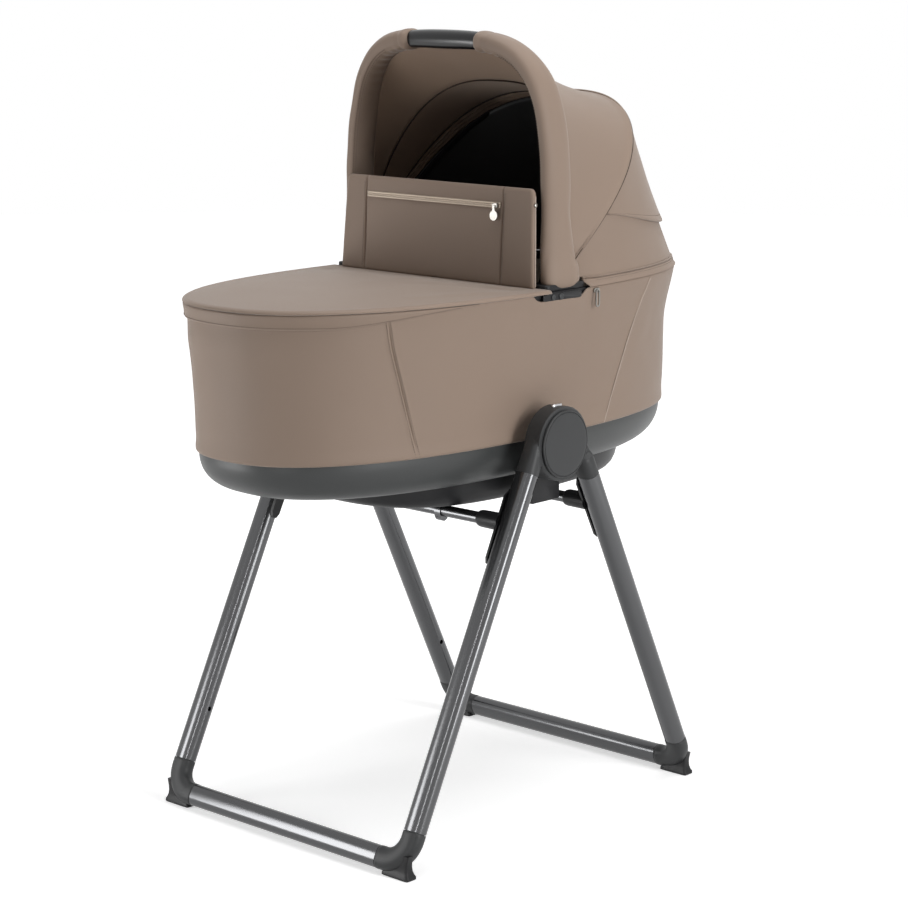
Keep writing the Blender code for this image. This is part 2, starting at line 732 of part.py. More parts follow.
def make_seat_bracket(side, sign, body):
    # An L seen from the end: a shoe under the tub and a tongue that stands up into the hull's pocket.
    outer = LEG_X - TUBE_WIDE / 2.0 - TURN_GAP
    inner = outer - BRACKET_REACH
    floor = bracket_floor()
    top = floor + BRACKET_THICK
    upper = HUB_Z - BRACKET_TOP
    outline = rounded_outline(
        [(inner, floor, 0.0), (outer, floor, 0.0), (outer, upper, 0.0), (outer - BRACKET_PLATE, upper, 0.0),
         (outer - BRACKET_PLATE, top, 0.0), (inner, top, 0.0)], 0.0028, 3)

    def place(p):
        return Vector((sign * p[0], HUB_Y, p[1]))
    shoe = prism(
        f"seat_bracket_{side}", outline, place, Y_AXIS, -BRACKET_HALF, BRACKET_HALF,
        body, "black_plastic", edge=0.002)
    middle = tongue_x() * sign
    rings = []
    tip = top + TONGUE_HEIGHT
    for height, shrink in ((top - 0.004, 0.0), (tip - 0.006, 0.0), (tip, 0.0022)):
        centre = Vector((middle, HUB_Y, height))
        rings.append(oval(
            centre, X_AXIS, Y_AXIS, TONGUE_THICK / 2.0 - shrink, TONGUE_HALF - shrink * 2.0, 5.0))
    points, faces = loft(rings)
    boolean(shoe, mesh_object(f"join_tongue_{side}", points, faces), "UNION")
    pad = [(-BRACKET_PAD_HALF, -BRACKET_PAD_LOW), (BRACKET_PAD_HALF, -BRACKET_PAD_LOW),
           (BRACKET_PAD_HALF, -BRACKET_TOP - 0.001), (-BRACKET_PAD_HALF, -BRACKET_TOP - 0.001)]
    start = outer - BRACKET_PLATE * 0.5
    block = prism(f"join_bracket_pad_{side}", pad, hub_plane, X_AXIS * sign, start, DRUM_IN - GAP)
    boolean(shoe, block, "UNION")


def tongue_x():
    return LEG_X - TUBE_WIDE / 2.0 - TURN_GAP - BRACKET_REACH + TONGUE_IN


def make_side_plates(end, frame, body):
    # A strap on the inner face of each leg, with the cross tube's socket standing on it.
    down, outward = leg_axes(end)
    for side, sign in SIDES.items():
        axis = X_AXIS * -sign
        face = X_AXIS * (sign * (LEG_X - TUBE_WIDE / 2.0 - GAP))
        rings = []
        for along, half in (
                (PLATE_START, PLATE_HALF * 0.55), (PLATE_START + 0.008, PLATE_HALF),
                (PLATE_END - 0.008, PLATE_HALF * 0.82), (PLATE_END, PLATE_HALF * 0.45)):
            base = leg_point(end, along) + face
            rings.append([
                base - outward * half, base + outward * half,
                base + outward * (half - 0.0008) + axis * PLATE_THICK,
                base - outward * (half - 0.0008) + axis * PLATE_THICK])
        points, faces = loft(rings)
        plate = mesh_object(f"{frame}_socket_plate_{side}", points, faces, body, "black_plastic")
        centre = leg_point(end, CROSS_ALONG) + face
        length, wide = CROSS_SOCKET_LENGTH, CROSS_SOCKET_RADIUS
        profile = ((PLATE_THICK * 0.4, wide), (length - 0.005, wide * 0.96),
                   (length - 0.0012, wide * 0.88), (length, wide * 0.80))
        socket = turned(f"join_{frame}_socket_{side}", profile, centre, axis, count=PIN_SIDES)
        boolean(plate, socket, "UNION")
        room = CROSS_RADIUS + GAP
        profile = ((CROSS_STOP, room), (length + CROSS_STOP, room))
        bore = turned(f"cut_{frame}_socket_{side}", profile, centre, axis, count=PIN_SIDES)
        boolean(plate, bore, "DIFFERENCE")


def make_cross_tube(end, frame, body):
    reach = LEG_X - TUBE_WIDE / 2.0 - CROSS_STOP - 2.0 * GAP
    centre = leg_point(end, CROSS_ALONG)
    down, outward = leg_axes(end)
    inner = CROSS_RADIUS - CROSS_WALL
    rings = []
    for x, radius in ((-reach, CROSS_RADIUS), (reach, CROSS_RADIUS), (reach, inner), (-reach, inner)):
        rings.append(oval(centre + X_AXIS * x, outward, down, radius, radius, 2.0, PIN_SIDES))
    points, faces = loft(rings, cyclic=True)
    mesh_object(f"{frame}_cross_tube", points, faces, body, "satin_tube")


def make_collar(body):
    # A split ring with a tail on the front cross tube, near the right-hand leg.
    centre = leg_point(-1, CROSS_ALONG) + X_AXIS * COLLAR_X
    inner = CROSS_RADIUS + GAP
    outer = CROSS_RADIUS + COLLAR_RIM
    half = COLLAR_HALF
    rings = []
    for x, radius in ((-half, inner), (-half, outer), (half, outer), (half, inner)):
        ring = []
        for i in range(PIN_SIDES):
            turn = 2.0 * math.pi * i / PIN_SIDES
            drop = COLLAR_TAIL * max(0.0, -math.sin(turn)) ** 3 if radius == outer else 0.0
            out = radius + drop
            ring.append(centre + Vector((x, out * math.cos(turn), out * math.sin(turn))))
        rings.append(ring)
    points, faces = loft(rings, cyclic=True)
    mesh_object("cross_tube_collar", points, faces, body, "black_plastic")


def tub_ring(inset, z, count=TUB_COUNT):
    # The tub's plan outline, drawn in by inset on every side.
    return oval(
        Vector((0.0, 0.0, z)), X_AXIS, Y_AXIS,
        TUB_HALF_WIDTH - inset, TUB_HALF_LENGTH - inset, TUB_POWER, count)


def tub_inset(z):
    share = (RIM_Z - z) / (RIM_Z - HULL_TOP_Z)
    return WAIST_DRAW * (1.0 - (1.0 - min(max(share, 0.0), 1.0)) ** 2.2)


def wall_levels():
    # The heights that the cover, the wall and the lining share.
    low = HULL_TOP_Z + HEM_ROLL
    high = RIM_Z - BEAD_DEPTH
    return [low + (high - low) * k / WALL_STEPS for k in range(WALL_STEPS + 1)]


def make_cover(body):
    # The fabric's lower edge is rolled in over the hull's step, and its upper edge meets the rim.
    low = HULL_TOP_Z + GAP
    levels = wall_levels() + [RIM_Z - RIM_ROUND]
    rings = [tub_ring(tub_inset(low) + COVER_THICK * 0.45, low)]
    rings += [tub_ring(tub_inset(z), z) for z in levels]
    rings.append(tub_ring(COVER_THICK * 0.3, RIM_Z))
    rings.append(tub_ring(COVER_THICK, RIM_Z))
    rings += [tub_ring(tub_inset(z) + COVER_THICK, z) for z in reversed(levels)]
    rings.append(tub_ring(tub_inset(low) + COVER_THICK, low))
    points, faces = loft(rings, cyclic=True)
    mesh_object("side_cover", points, faces, body, "taupe_fabric")


def make_wall(body):
    # A stiff wall that stands on the hull's edge and carries a beaded rim.
    low = HULL_TOP_Z + GAP
    depth = COVER_THICK + GAP
    bead = depth + WALL_THICK + RIM_TUBE
    rings = [tub_ring(tub_inset(z) + depth, z) for z in [low] + wall_levels() + [RIM_Z - RIM_ROUND]]
    rings.append(tub_ring(depth + RIM_ROUND * 0.25, RIM_Z))
    rings.append(tub_ring(bead, RIM_Z))
    rings.append(tub_ring(bead, RIM_Z - BEAD_DEPTH * 0.75))
    rings += [tub_ring(tub_inset(z) + depth + WALL_THICK, z) for z in list(reversed(wall_levels())) + [low]]
    points, faces = loft(rings, cyclic=True)
    mesh_object("side_wall", points, faces, body, "black_plastic")


def make_lining(body):
    # The lining hangs from under the bead, inside the wall, and reaches down into the hull.
    depth = COVER_THICK + WALL_THICK + 2.0 * GAP
    levels = [HULL_TOP_Z - LINING_TUCK] + wall_levels()
    outer = [tub_ring(tub_inset(z) + depth, z) for z in levels]
    inner = [tub_ring(tub_inset(z) + depth + LINING_THICK, z) for z in reversed(levels)]
    points, faces = loft(outer + inner, cyclic=True)
    mesh_object("inner_lining", points, faces, body, "cream_cotton")


def hull_ring(z, depth, height=None):
    # The hull steps in from the fabric and rounds under to its flat bottom, more so at its ends.
    share = min((HULL_TOP_Z - z) / (HULL_TOP_Z - HULL_BOTTOM_Z), 1.0)
    rounding = 1.0 - math.sqrt(max(0.0, 1.0 - share ** 2.3))
    edge = WAIST_DRAW + HULL_STEP + depth
    return oval(
        Vector((0.0, 0.0, z if height is None else height)), X_AXIS, Y_AXIS,
        TUB_HALF_WIDTH - edge - HULL_ROUND_WIDE * rounding,
        TUB_HALF_LENGTH - edge - HULL_ROUND * rounding, TUB_POWER, TUB_COUNT)


def hull_floor():
    return HULL_BOTTOM_Z + HULL_WALL


def make_hull(body):
    shares = (0.0, 0.10, 0.40, 0.68, 0.87, 0.96, 1.0)
    span = HULL_TOP_Z - HULL_BOTTOM_Z
    levels = [HULL_TOP_Z - span * s for s in shares]
    outer = [hull_ring(z, 0.0) for z in reversed(levels)]
    inner = [hull_ring(HULL_TOP_Z, HULL_WALL)]
    for z in levels[2::2]:
        inner.append(hull_ring(z, HULL_WALL, max(z, hull_floor())))
    points, faces = loft(outer + inner)
    hull = mesh_object("hull", points, faces, body, "charcoal_plastic")
    for side, sign in SIDES.items():
        add_latch_boss(hull, side, sign)


def add_latch_boss(hull, side, sign):
    # A boss under the hull that drops over the seat bracket's tongue.
    shoe_top = bracket_floor() + BRACKET_THICK
    low = shoe_top + GAP
    high = HULL_BOTTOM_Z + BOSS_HEIGHT
    centre = tongue_x() * sign
    rings = []
    for z, grow in ((low, -0.0015), (low + 0.002, 0.0), (high, 0.002)):
        place = Vector((centre, HUB_Y, z))
        rings.append(oval(
            place, X_AXIS, Y_AXIS, TONGUE_THICK / 2.0 + 0.0045 + grow, TONGUE_HALF + 0.007 + grow, 5.0))
    points, faces = loft(rings)
    boolean(hull, mesh_object(f"join_latch_boss_{side}", points, faces), "UNION")
    rings = []
    for z in (low - 0.01, shoe_top + TONGUE_HEIGHT + 0.0015):
        place = Vector((centre, HUB_Y, z))
        rings.append(oval(
            place, X_AXIS, Y_AXIS, TONGUE_THICK / 2.0 + SLIDE_GAP, TONGUE_HALF + SLIDE_GAP, 5.0))
    points, faces = loft(rings)
    boolean(hull, mesh_object(f"cut_latch_pocket_{side}", points, faces), "DIFFERENCE")


def make_pod(body):
    top = HULL_BOTTOM_Z - GAP
    rings = []
    for share, inset in ((1.0, 0.030), (0.94, 0.014), (0.78, 0.006), (0.45, 0.002), (0.0, 0.0)):
        ring = oval(
            Vector((0.0, POD_Y, top)), X_AXIS, Y_AXIS,
            POD_HALF_WIDTH - inset, POD_HALF_LENGTH - inset * 2.2, POD_POWER, 32)
        for point in ring:
            along = (point.y - POD_Y) / POD_HALF_LENGTH
            point.z = top - share * (POD_DEPTH - POD_ROCK * along * along)
        rings.append(ring)
    points, faces = loft(rings)
    pod = mesh_object("rocker_pod", points, faces, body, "black_plastic")
    return pod


def make_mattress(body):
    # A thin pad on the hull's floor, its sides drawn in and its top crowned.
    edge = COVER_THICK + WALL_THICK + LINING_THICK + WAIST_DRAW + MATTRESS_GAP
    low = hull_floor() + GAP
    rings = []
    for share, wide, long in MATTRESS_RINGS:
        rings.append(oval(
            Vector((0.0, 0.0, low + share * MATTRESS_THICK)), X_AXIS, Y_AXIS,
            TUB_HALF_WIDTH - edge - wide, TUB_HALF_LENGTH - edge - long, TUB_POWER, TUB_COUNT))
    border = rings[-1]
    for shrink in (0.75, 0.5, 0.25):
        rise = MATTRESS_THICK + MATTRESS_CROWN * (1.0 - shrink ** 2)
        rings.append([Vector((p.x * shrink, p.y * shrink, low + rise)) for p in border])
    points, faces = loft(rings)
    mesh_object("mattress", points, faces, body, "cream_cotton")


def apron_back():
    # The apron's straight edge, just behind the windshield that stands on it.
    return SHIELD_Y + SHIELD_THICK + APRON_EDGE


def make_apron(body):
    half_long = TUB_HALF_LENGTH - APRON_INSET
    back = apron_back()
    start = math.asin((-back / half_long) ** (TUB_POWER / 2.0))

    def place(i, j, layer):
        turn = start + (math.pi - 2.0 * start) * i / APRON_COLUMNS
        reach = 0.02 + 0.98 * j / APRON_ROWS
        x = (TUB_HALF_WIDTH - APRON_INSET) * signed_power(math.cos(turn), 2.0 / TUB_POWER) * reach
        y = back - (half_long * math.sin(turn) ** (2.0 / TUB_POWER) + back) * reach
        rise = APRON_CROWN * (1.0 - reach ** 2.4) * smoothstep((SHIELD_Y - y) / APRON_RISE)
        thick = APRON_THICK * (1.0 if j < APRON_ROWS else 0.7)
        return Vector((x, min(y, back), RIM_Z + GAP + rise + (thick if layer == 0 else 0.0)))
    patch("apron", place, APRON_COLUMNS, APRON_ROWS, lambda i, j: False, body, "taupe_fabric")


def make_apron_band(body):
    # The skirt that wraps the rim outside the cover, lower at the foot than at its ends.
    sweep = math.radians(BAND_SWEEP)
    turns = [2.0 * math.pi * (i + 0.5) / TUB_COUNT for i in range(TUB_COUNT)]
    turns = [turn for turn in turns if abs(turn - 1.5 * math.pi) < sweep]
    columns = len(turns) - 1
    rows = 2

    def place(i, j, layer):
        share = i / columns
        height = BAND_HEIGHT * smoothstep(min(share, 1.0 - share) * 3.4 + 0.12)
        z = RIM_Z - height * j / rows
        proud = BAND_THICK * (0.75 if j == rows else 1.0)
        inset = tub_inset(z) - BAND_GAP - (proud if layer == 0 else 0.0)
        x = (TUB_HALF_WIDTH - inset) * signed_power(math.cos(turns[i]), 2.0 / TUB_POWER)
        y = (TUB_HALF_LENGTH - inset) * signed_power(math.sin(turns[i]), 2.0 / TUB_POWER)
        return Vector((x, y, z))
    patch("apron_band", place, columns, rows, lambda i, j: False, body, "taupe_fabric")


def shield_y(height):
    return SHIELD_Y + SHIELD_THICK / 2.0 + 0.0005 + SHIELD_LEAN * height / SHIELD_HEIGHT


def shield_base():
    return RIM_Z + APRON_THICK + 2.0 * GAP


def make_windshield(body):
    # A padded panel with rounded top corners, a little narrower at the top.
    base = shield_base()
    rings = []
    for share in (0.0, 0.04, 0.25, 0.5, 0.75, 0.90, 0.965, 1.0):
        height = SHIELD_HEIGHT * share
        near_top = max(0.0, height - (SHIELD_HEIGHT - SHIELD_CORNER)) / SHIELD_CORNER
        corner = SHIELD_CORNER * (1.0 - math.sqrt(1.0 - min(near_top, 1.0) ** 2 * 0.98))
        half = SHIELD_HALF - SHIELD_TAPER * share - corner
        thick = SHIELD_THICK / 2.0 * (0.55 if share in (0.0, 1.0) else 1.0)
        centre = Vector((0.0, shield_y(height), base + height))
        rings.append(oval(centre, X_AXIS, Y_AXIS, half, thick, 12.0, 24))
    points, faces = loft(rings)
    mesh_object("windshield", points, faces, body, "taupe_fabric")


def shield_front(height):
    return shield_y(height) - SHIELD_THICK / 2.0


def make_pocket_zip(body):
    # Tape along the top of the pocket, with a raised row of teeth.
    base = shield_base() + ZIP_UP
    lean = SHIELD_LEAN / SHIELD_HEIGHT
    profile = ((0.0, -0.5), (1.0, -0.5), (1.0, -0.18), (2.0, -0.14),
               (2.0, 0.14), (1.0, 0.18), (1.0, 0.5), (0.0, 0.5))
    rings = []
    for x in (ZIP_FROM, ZIP_TO):
        ring = []
        for out, up in profile:
            height = up * ZIP_TAPE
            y = shield_front(ZIP_UP) + height * lean - GAP - out * ZIP_TAPE_THICK
            ring.append(Vector((x, y, base + height)))
        rings.append(ring)
    points, faces = loft(rings)
    mesh_object("pocket_zip", points, faces, body, "zip_tape")


def slider_y():
    return shield_front(ZIP_UP) - GAP - 2.0 * ZIP_TAPE_THICK - SLIDE_GAP


def slider_x():
    return ZIP_TO - SLIDER_LENGTH / 2.0 - 0.002


def make_slider(body):
    base = shield_base() + ZIP_UP
    half, wide, nose = SLIDER_LENGTH / 2.0, SLIDER_WIDTH / 2.0, SLIDER_WIDTH * 0.36
    corners = [(-half, -nose, 0.0), (half, -wide, 0.0), (half, wide, 0.0), (-half, nose, 0.0)]
    outline = rounded_outline(corners, 0.0018, 3)

    def place(p):
        return Vector((slider_x() + p[0], 0.0, base + p[1]))
    front = slider_y()
    prism("zip_slider", outline, place, Y_AXIS, front - SLIDER_THICK, front,
          body, "zip_metal", edge=0.0008)


def puller_pivot():
    return Vector((slider_x(), slider_y() - SLIDER_THICK - GAP - PULLER_THICK / 2.0, shield_base() + ZIP_UP))


def make_puller(body):
    # A plain disc on a short neck that hangs from the slider, its top edge just above the pivot.
    pivot = puller_pivot()
    half = PULLER_NECK_HALF
    middle = -(PULLER_NECK + PULLER_RADIUS)
    notch = math.asin(half / PULLER_RADIUS)
    outline = [(half, PULLER_LIP), (-half, PULLER_LIP)]
    for k in range(PULLER_STEPS + 1):
        turn = math.pi / 2.0 + notch + (2.0 * math.pi - 2.0 * notch) * k / PULLER_STEPS
        outline.append((PULLER_RADIUS * math.cos(turn), middle + PULLER_RADIUS * math.sin(turn)))

    def place(p):
        return Vector((pivot.x + p[0], pivot.y, pivot.z + p[1]))
    prism(
        "zip_puller", outline, place, Y_AXIS, -PULLER_THICK / 2.0, PULLER_THICK / 2.0,
        body, "zip_metal", edge=0.0004)


def fan_direction(angle):
    turn = math.radians(angle)
    return Vector((0.0, math.cos(turn), math.sin(turn)))


def arch_point(turn, half, reach, power, angle):
    x = half * signed_power(math.cos(turn), 2.0 / power)
    out = reach * abs(math.sin(turn)) ** (2.0 / power)
    return Vector((x, HOOD_Y, HOOD_Z)) + fan_direction(angle) * out


def even_turns(half, reach, power, count, low=0.0, high=math.pi):
    # Turns that space an arch's points evenly along it.
    fine = 400
    turns = [low + (high - low) * k / fine for k in range(fine + 1)]
    marks = [0.0]
    points = [arch_point(t, half, reach, power, 90.0) for t in turns]
    for k in range(fine):
        marks.append(marks[-1] + (points[k + 1] - points[k]).length)
    chosen = []
    k = 0
    for i in range(count + 1):
        want = marks[-1] * i / count
        while k < fine - 1 and marks[k + 1] < want:
            k += 1
        step = marks[k + 1] - marks[k]
        share = (want - marks[k]) / step if step else 0.0
        chosen.append(turns[k] + (turns[k + 1] - turns[k]) * min(max(share, 0.0), 1.0))
    return chosen


def turn_at_reach(out, reach, power):
    return math.asin(min(1.0, (out / reach)) ** (power / 2.0))


def turn_at_x(x, half, power):
    return math.acos(min(1.0, x / half) ** (power / 2.0))


def bow_point(turn):
    # The front bow stands upright, with its crown bent forward.
    flat = arch_point(turn, BOW_HALF, BOW_REACH, BOW_POWER, BOW_ANGLE)
    forward = BOW_CROWN * (bow_height(turn) / BOW_REACH) ** BOW_CROWN_POWER
    return flat - Vector((0.0, forward, 0.0))


def bow_frame(turn):
    here = bow_point(turn)
    ahead = bow_point(turn + TURN_STEP)
    behind = bow_point(turn - TURN_STEP)
    back = fan_direction(BOW_ANGLE - 90.0)
    tangent = (ahead - behind).normalized()
    return here, back, tangent.cross(back).normalized()


def bow_height(turn):
    return BOW_REACH * abs(math.sin(turn)) ** (2.0 / BOW_POWER)


def sleeve_size(turn):
    # Width, thickness and the backward shift of the sleeve, which flares out behind near its foot.
    share = smoothstep(math.sin(turn) ** 3.0)
    wide = SLEEVE_WIDE + (SLEEVE_TOP_WIDE - SLEEVE_WIDE) * share
    thick = SLEEVE_THICK + (SLEEVE_TOP_THICK - SLEEVE_THICK) * share
    flare = SLEEVE_FLARE * max(0.0, 1.0 - bow_height(turn) / SLEEVE_FLARE_REACH) ** 2.0
    return wide + flare, thick, flare * 0.35


def eye(name, x, sign, thick, radius):
    # A flat round eye on the hood's axis, its middle at the given distance from the centre line.
    centre = Vector((sign * x, HOOD_Y, HOOD_Z))
    half = thick / 2.0
    return turned(name, ((-half, radius), (half, radius)), centre, X_AXIS, count=PIN_SIDES)


def bore_eyes(item, label):
    for side, sign in SIDES.items():
        cutter = eye(f"cut_{label}_bore_{side}", BOW_HALF, sign, 1.5 * PIVOT_WIDE, EYE_PIN + GAP)
        boolean(item, cutter, "DIFFERENCE")


def sleeve_turns():
    low = turn_at_reach(SLEEVE_START, BOW_REACH, BOW_POWER)
    high = turn_at_x(GRIP_HALF + GAP, BOW_HALF, BOW_POWER)
    return even_turns(BOW_HALF, BOW_REACH, BOW_POWER, SLEEVE_STEPS, low, high)


def grip_turns():
    low = turn_at_x(GRIP_HALF, BOW_HALF, BOW_POWER)
    return even_turns(BOW_HALF, BOW_REACH, BOW_POWER, GRIP_STEPS, low, math.pi - low)


def make_front_bow(body):
    # The tube that the sleeves and the grip are threaded on, with a flattened eye at each end.
    start = turn_at_reach(EYE_RADIUS * 0.7, BOW_REACH, BOW_POWER)
    half = [start] + sleeve_turns()
    turns = half + grip_turns()[1:-1] + [math.pi - turn for turn in reversed(half)]
    rings = []
    for k, turn in enumerate(turns):
        here, back, inward = bow_frame(turn)
        flat = BOW_TUBE * (0.6 if k in (0, len(turns) - 1) else 1.0)
        rings.append(oval(here, back, inward, BOW_TUBE, flat, 2.0, BOW_SIDES))
    points, faces = loft(rings)
    bow = mesh_object("front_bow", points, faces, body, "satin_alloy")
    for side, sign in SIDES.items():
        boolean(bow, eye(f"join_front_eye_{side}", BOW_HALF, sign, EYE_THICK, EYE_RADIUS), "UNION")
    bore_eyes(bow, "front")


def sleeve_rings(turns):
    bore = BOW_TUBE + 2.0 * GAP
    outer, inner = [], []
    for k, turn in enumerate(turns):
        here, back, inward = bow_frame(turn)
        wide, thick, shift = sleeve_size(turn)
        pinch = 0.88 if k in (0, len(turns) - 1) else 1.0
        half_wide, half_thick = wide / 2.0 * pinch, thick / 2.0 * pinch
        outer.append(oval(here + back * shift, back, inward, half_wide, half_thick, 2.6, BOW_SIDES))
        inner.append(oval(here, back, inward, bore, bore, 2.0, BOW_SIDES))
    return outer + list(reversed(inner))


def make_sleeves(body):
    turns = sleeve_turns()
    for side, sign in SIDES.items():
        mirrored = turns if sign > 0 else [math.pi - turn for turn in turns]
        points, faces = loft(sleeve_rings(mirrored), cyclic=True)
        mesh_object(f"bow_sleeve_{side}", points, faces, body, "taupe_fabric")


def make_grip(body):
    bore = BOW_TUBE + GAP
    turns = grip_turns()
    outer, inner = [], []
    for k, turn in enumerate(turns):
        here, back, inward = bow_frame(turn)
        swell = 1.0 + 0.10 * math.sin(math.pi * k / GRIP_STEPS)
        pinch = 0.90 if k in (0, GRIP_STEPS) else 1.0
        size = GRIP_RADIUS * swell * pinch
        outer.append(oval(here, back, inward, size * 1.08, size, 2.2, BOW_SIDES))
        inner.append(oval(here, back, inward, bore, bore, 2.0, BOW_SIDES))
    points, faces = loft(outer + list(reversed(inner)), cyclic=True)
    mesh_object("carry_grip", points, faces, body, "gloss_grip")


def fan_turns(count, half, reach, power):
    start = turn_at_reach(FAN_START, reach, power)
    return even_turns(half, reach, power, count, start, math.pi - start)


def middle_line(inset):
    # The crossing seam, an arch that leans a little further up over its middle.
    line = []
    for turn in fan_turns(CANOPY_COUNT, CANOPY_MID_HALF, CANOPY_MID_REACH, CANOPY_POWER):
        angle = MID_ANGLE - MID_BEND * (1.0 - math.sin(turn) ** 2.0)
        line.append(arch_point(turn, CANOPY_MID_HALF - inset, CANOPY_MID_REACH - inset, CANOPY_POWER, angle))
    return line


def base_line(inset):
    # The hood's base seam, which follows the tub's rim round the head end.
    half = TUB_HALF_WIDTH - CANOPY_BASE_INSET
    reach = TUB_HALF_LENGTH - CANOPY_BASE_INSET
    start = turn_at_reach(CANOPY_BASE_START, reach, TUB_POWER)
    line = []
    for turn in even_turns(half, reach, TUB_POWER, CANOPY_COUNT, start, math.pi - start):
        x = (half - inset) * signed_power(math.cos(turn), 2.0 / TUB_POWER)
        y = (reach - inset) * abs(math.sin(turn)) ** (2.0 / TUB_POWER)
        line.append(Vector((x, y, RIM_Z + GAP)))
    return line


def bow_line(inset):
    # Where the front panel meets the rear side of the bow's sleeves.
    line = []
    for turn in fan_turns(CANOPY_COUNT, BOW_HALF, BOW_REACH, BOW_POWER):
        here, back, inward = bow_frame(turn)
        wide, thick, shift = sleeve_size(turn)
        line.append(here + back * (wide / 2.0 + shift + PANEL_GAP) + inward * inset)
    return line


def rear_skin(column, share, inset):
    # A point of the rear panel: share runs from the crossing seam (0) down to the base seam (1).
    high = middle_line(inset)[column]
    low = base_line(inset)[column]
    sag = CANOPY_REAR_SAG * math.sin(math.pi * share)
    outward = Vector((high.x, high.y - HOOD_Y, high.z - HOOD_Z)).normalized()
    return high.lerp(low, share) - outward * sag


def spread(column):
    # How far a column lies from the hood's middle, from 0 at the middle to 1 at the sides.
    return abs(2.0 * column / CANOPY_COUNT - 1.0)


def make_rear_canopy(body):
    # The panel from the crossing seam to the rim, with the window cut out of it.
    shares = [SEAM_START, WINDOW_TOP, (WINDOW_TOP + WINDOW_LOW) / 2.0, WINDOW_LOW, 0.8, 1.0]

    def place(i, j, layer):
        return rear_skin(i, shares[j], CANOPY_THICK * layer)

    def skip(i, j):
        return spread(i + 0.5) < WINDOW_SPREAD and j in (1, 2)
    patch("canopy_rear", place, CANOPY_COUNT, len(shares) - 1, skip, body, "taupe_fabric")


def make_window(body):
    # Mesh that closes the window from inside, overlapping its edges.
    columns = [i for i in range(CANOPY_COUNT + 1) if spread(i) < WINDOW_SPREAD + 2.0 / CANOPY_COUNT]
    shares = [WINDOW_TOP - 0.03, (WINDOW_TOP + WINDOW_LOW) / 2.0, WINDOW_LOW + 0.03]

    def place(i, j, layer):
        return rear_skin(columns[i], shares[j], CANOPY_THICK + WINDOW_GAP + WINDOW_THICK * layer)
    patch("vent_mesh", place, len(columns) - 1, len(shares) - 1, lambda i, j: False, body, "black_mesh")


def make_vent_flap(body):
    # A flap sewn in at the crossing seam, whose hem stands proud of the rear panel.
    columns = [i for i in range(CANOPY_COUNT + 1) if spread(i) < FLAP_SPREAD]
    rows = 4

    def place(i, j, layer):
        column = columns[i]
        corner = (FLAP_SPREAD - spread(column)) / (FLAP_SPREAD - FLAP_CORNER)
        hem = FLAP_HEM * (0.06 + 0.94 * smoothstep(corner))
        share = SEAM_START + (hem - SEAM_START) * j / rows
        proud = FLAP_GAP + FLAP_PROUD * (hem / FLAP_HEM) * (j / rows) ** 1.5 + FLAP_THICK * (1 - layer)
        return rear_skin(column, share, -proud)
    patch("vent_flap", place, len(columns) - 1, rows, lambda i, j: False, body, "taupe_fabric")


def front_skin(column, share, inset):
    # A point of the front panel: share runs from the crossing seam (0) forward to the bow (1).
    rear = middle_line(inset)[column]
    front = bow_line(inset + 0.001)[column]
    sag = CANOPY_SAG * math.sin(math.pi * share) * (1.0 - spread(column) ** 2.0)
    outward = Vector((rear.x, rear.y - HOOD_Y, rear.z - HOOD_Z)).normalized()
    return rear.lerp(front, share) - outward * sag


def make_front_canopy(body):
    rows = 5

    def place(i, j, layer):
        share = SEAM_START + (1.0 - SEAM_START) * j / rows
        return front_skin(i, share, CANOPY_THICK * layer)
    patch("canopy_front", place, CANOPY_COUNT, rows, lambda i, j: False, body, "taupe_fabric")


def make_mid_bow(body):
    # A flat batten inside the hood, on eyes in the layer inside the front bow's.
    start = turn_at_reach(EYE_RADIUS * 0.8, MID_BOW_REACH, CANOPY_POWER)
    back = fan_direction(MID_ANGLE - 90.0)
    rings = []
    for turn in even_turns(MID_BOW_HALF, MID_BOW_REACH, CANOPY_POWER, 20, start, math.pi - start):
        here = arch_point(turn, MID_BOW_HALF, MID_BOW_REACH, CANOPY_POWER, MID_ANGLE)
        ahead = arch_point(turn + TURN_STEP, MID_BOW_HALF, MID_BOW_REACH, CANOPY_POWER, MID_ANGLE)
        behind = arch_point(turn - TURN_STEP, MID_BOW_HALF, MID_BOW_REACH, CANOPY_POWER, MID_ANGLE)
        out = (ahead - behind).normalized().cross(back).normalized()
        rings.append(oval(here, back, out, MID_BOW_WIDE / 2.0, MID_BOW_THICK / 2.0, 4.0, 8))
    points, faces = loft(rings)
    bow = mesh_object("middle_bow", points, faces, body, "black_plastic")
    for side, sign in SIDES.items():
        ear = eye(f"join_middle_eye_{side}", MID_BOW_HALF, sign, MID_BOW_THICK * 1.1, EYE_RADIUS)
        boolean(bow, ear, "UNION")
    bore_eyes(bow, "middle")


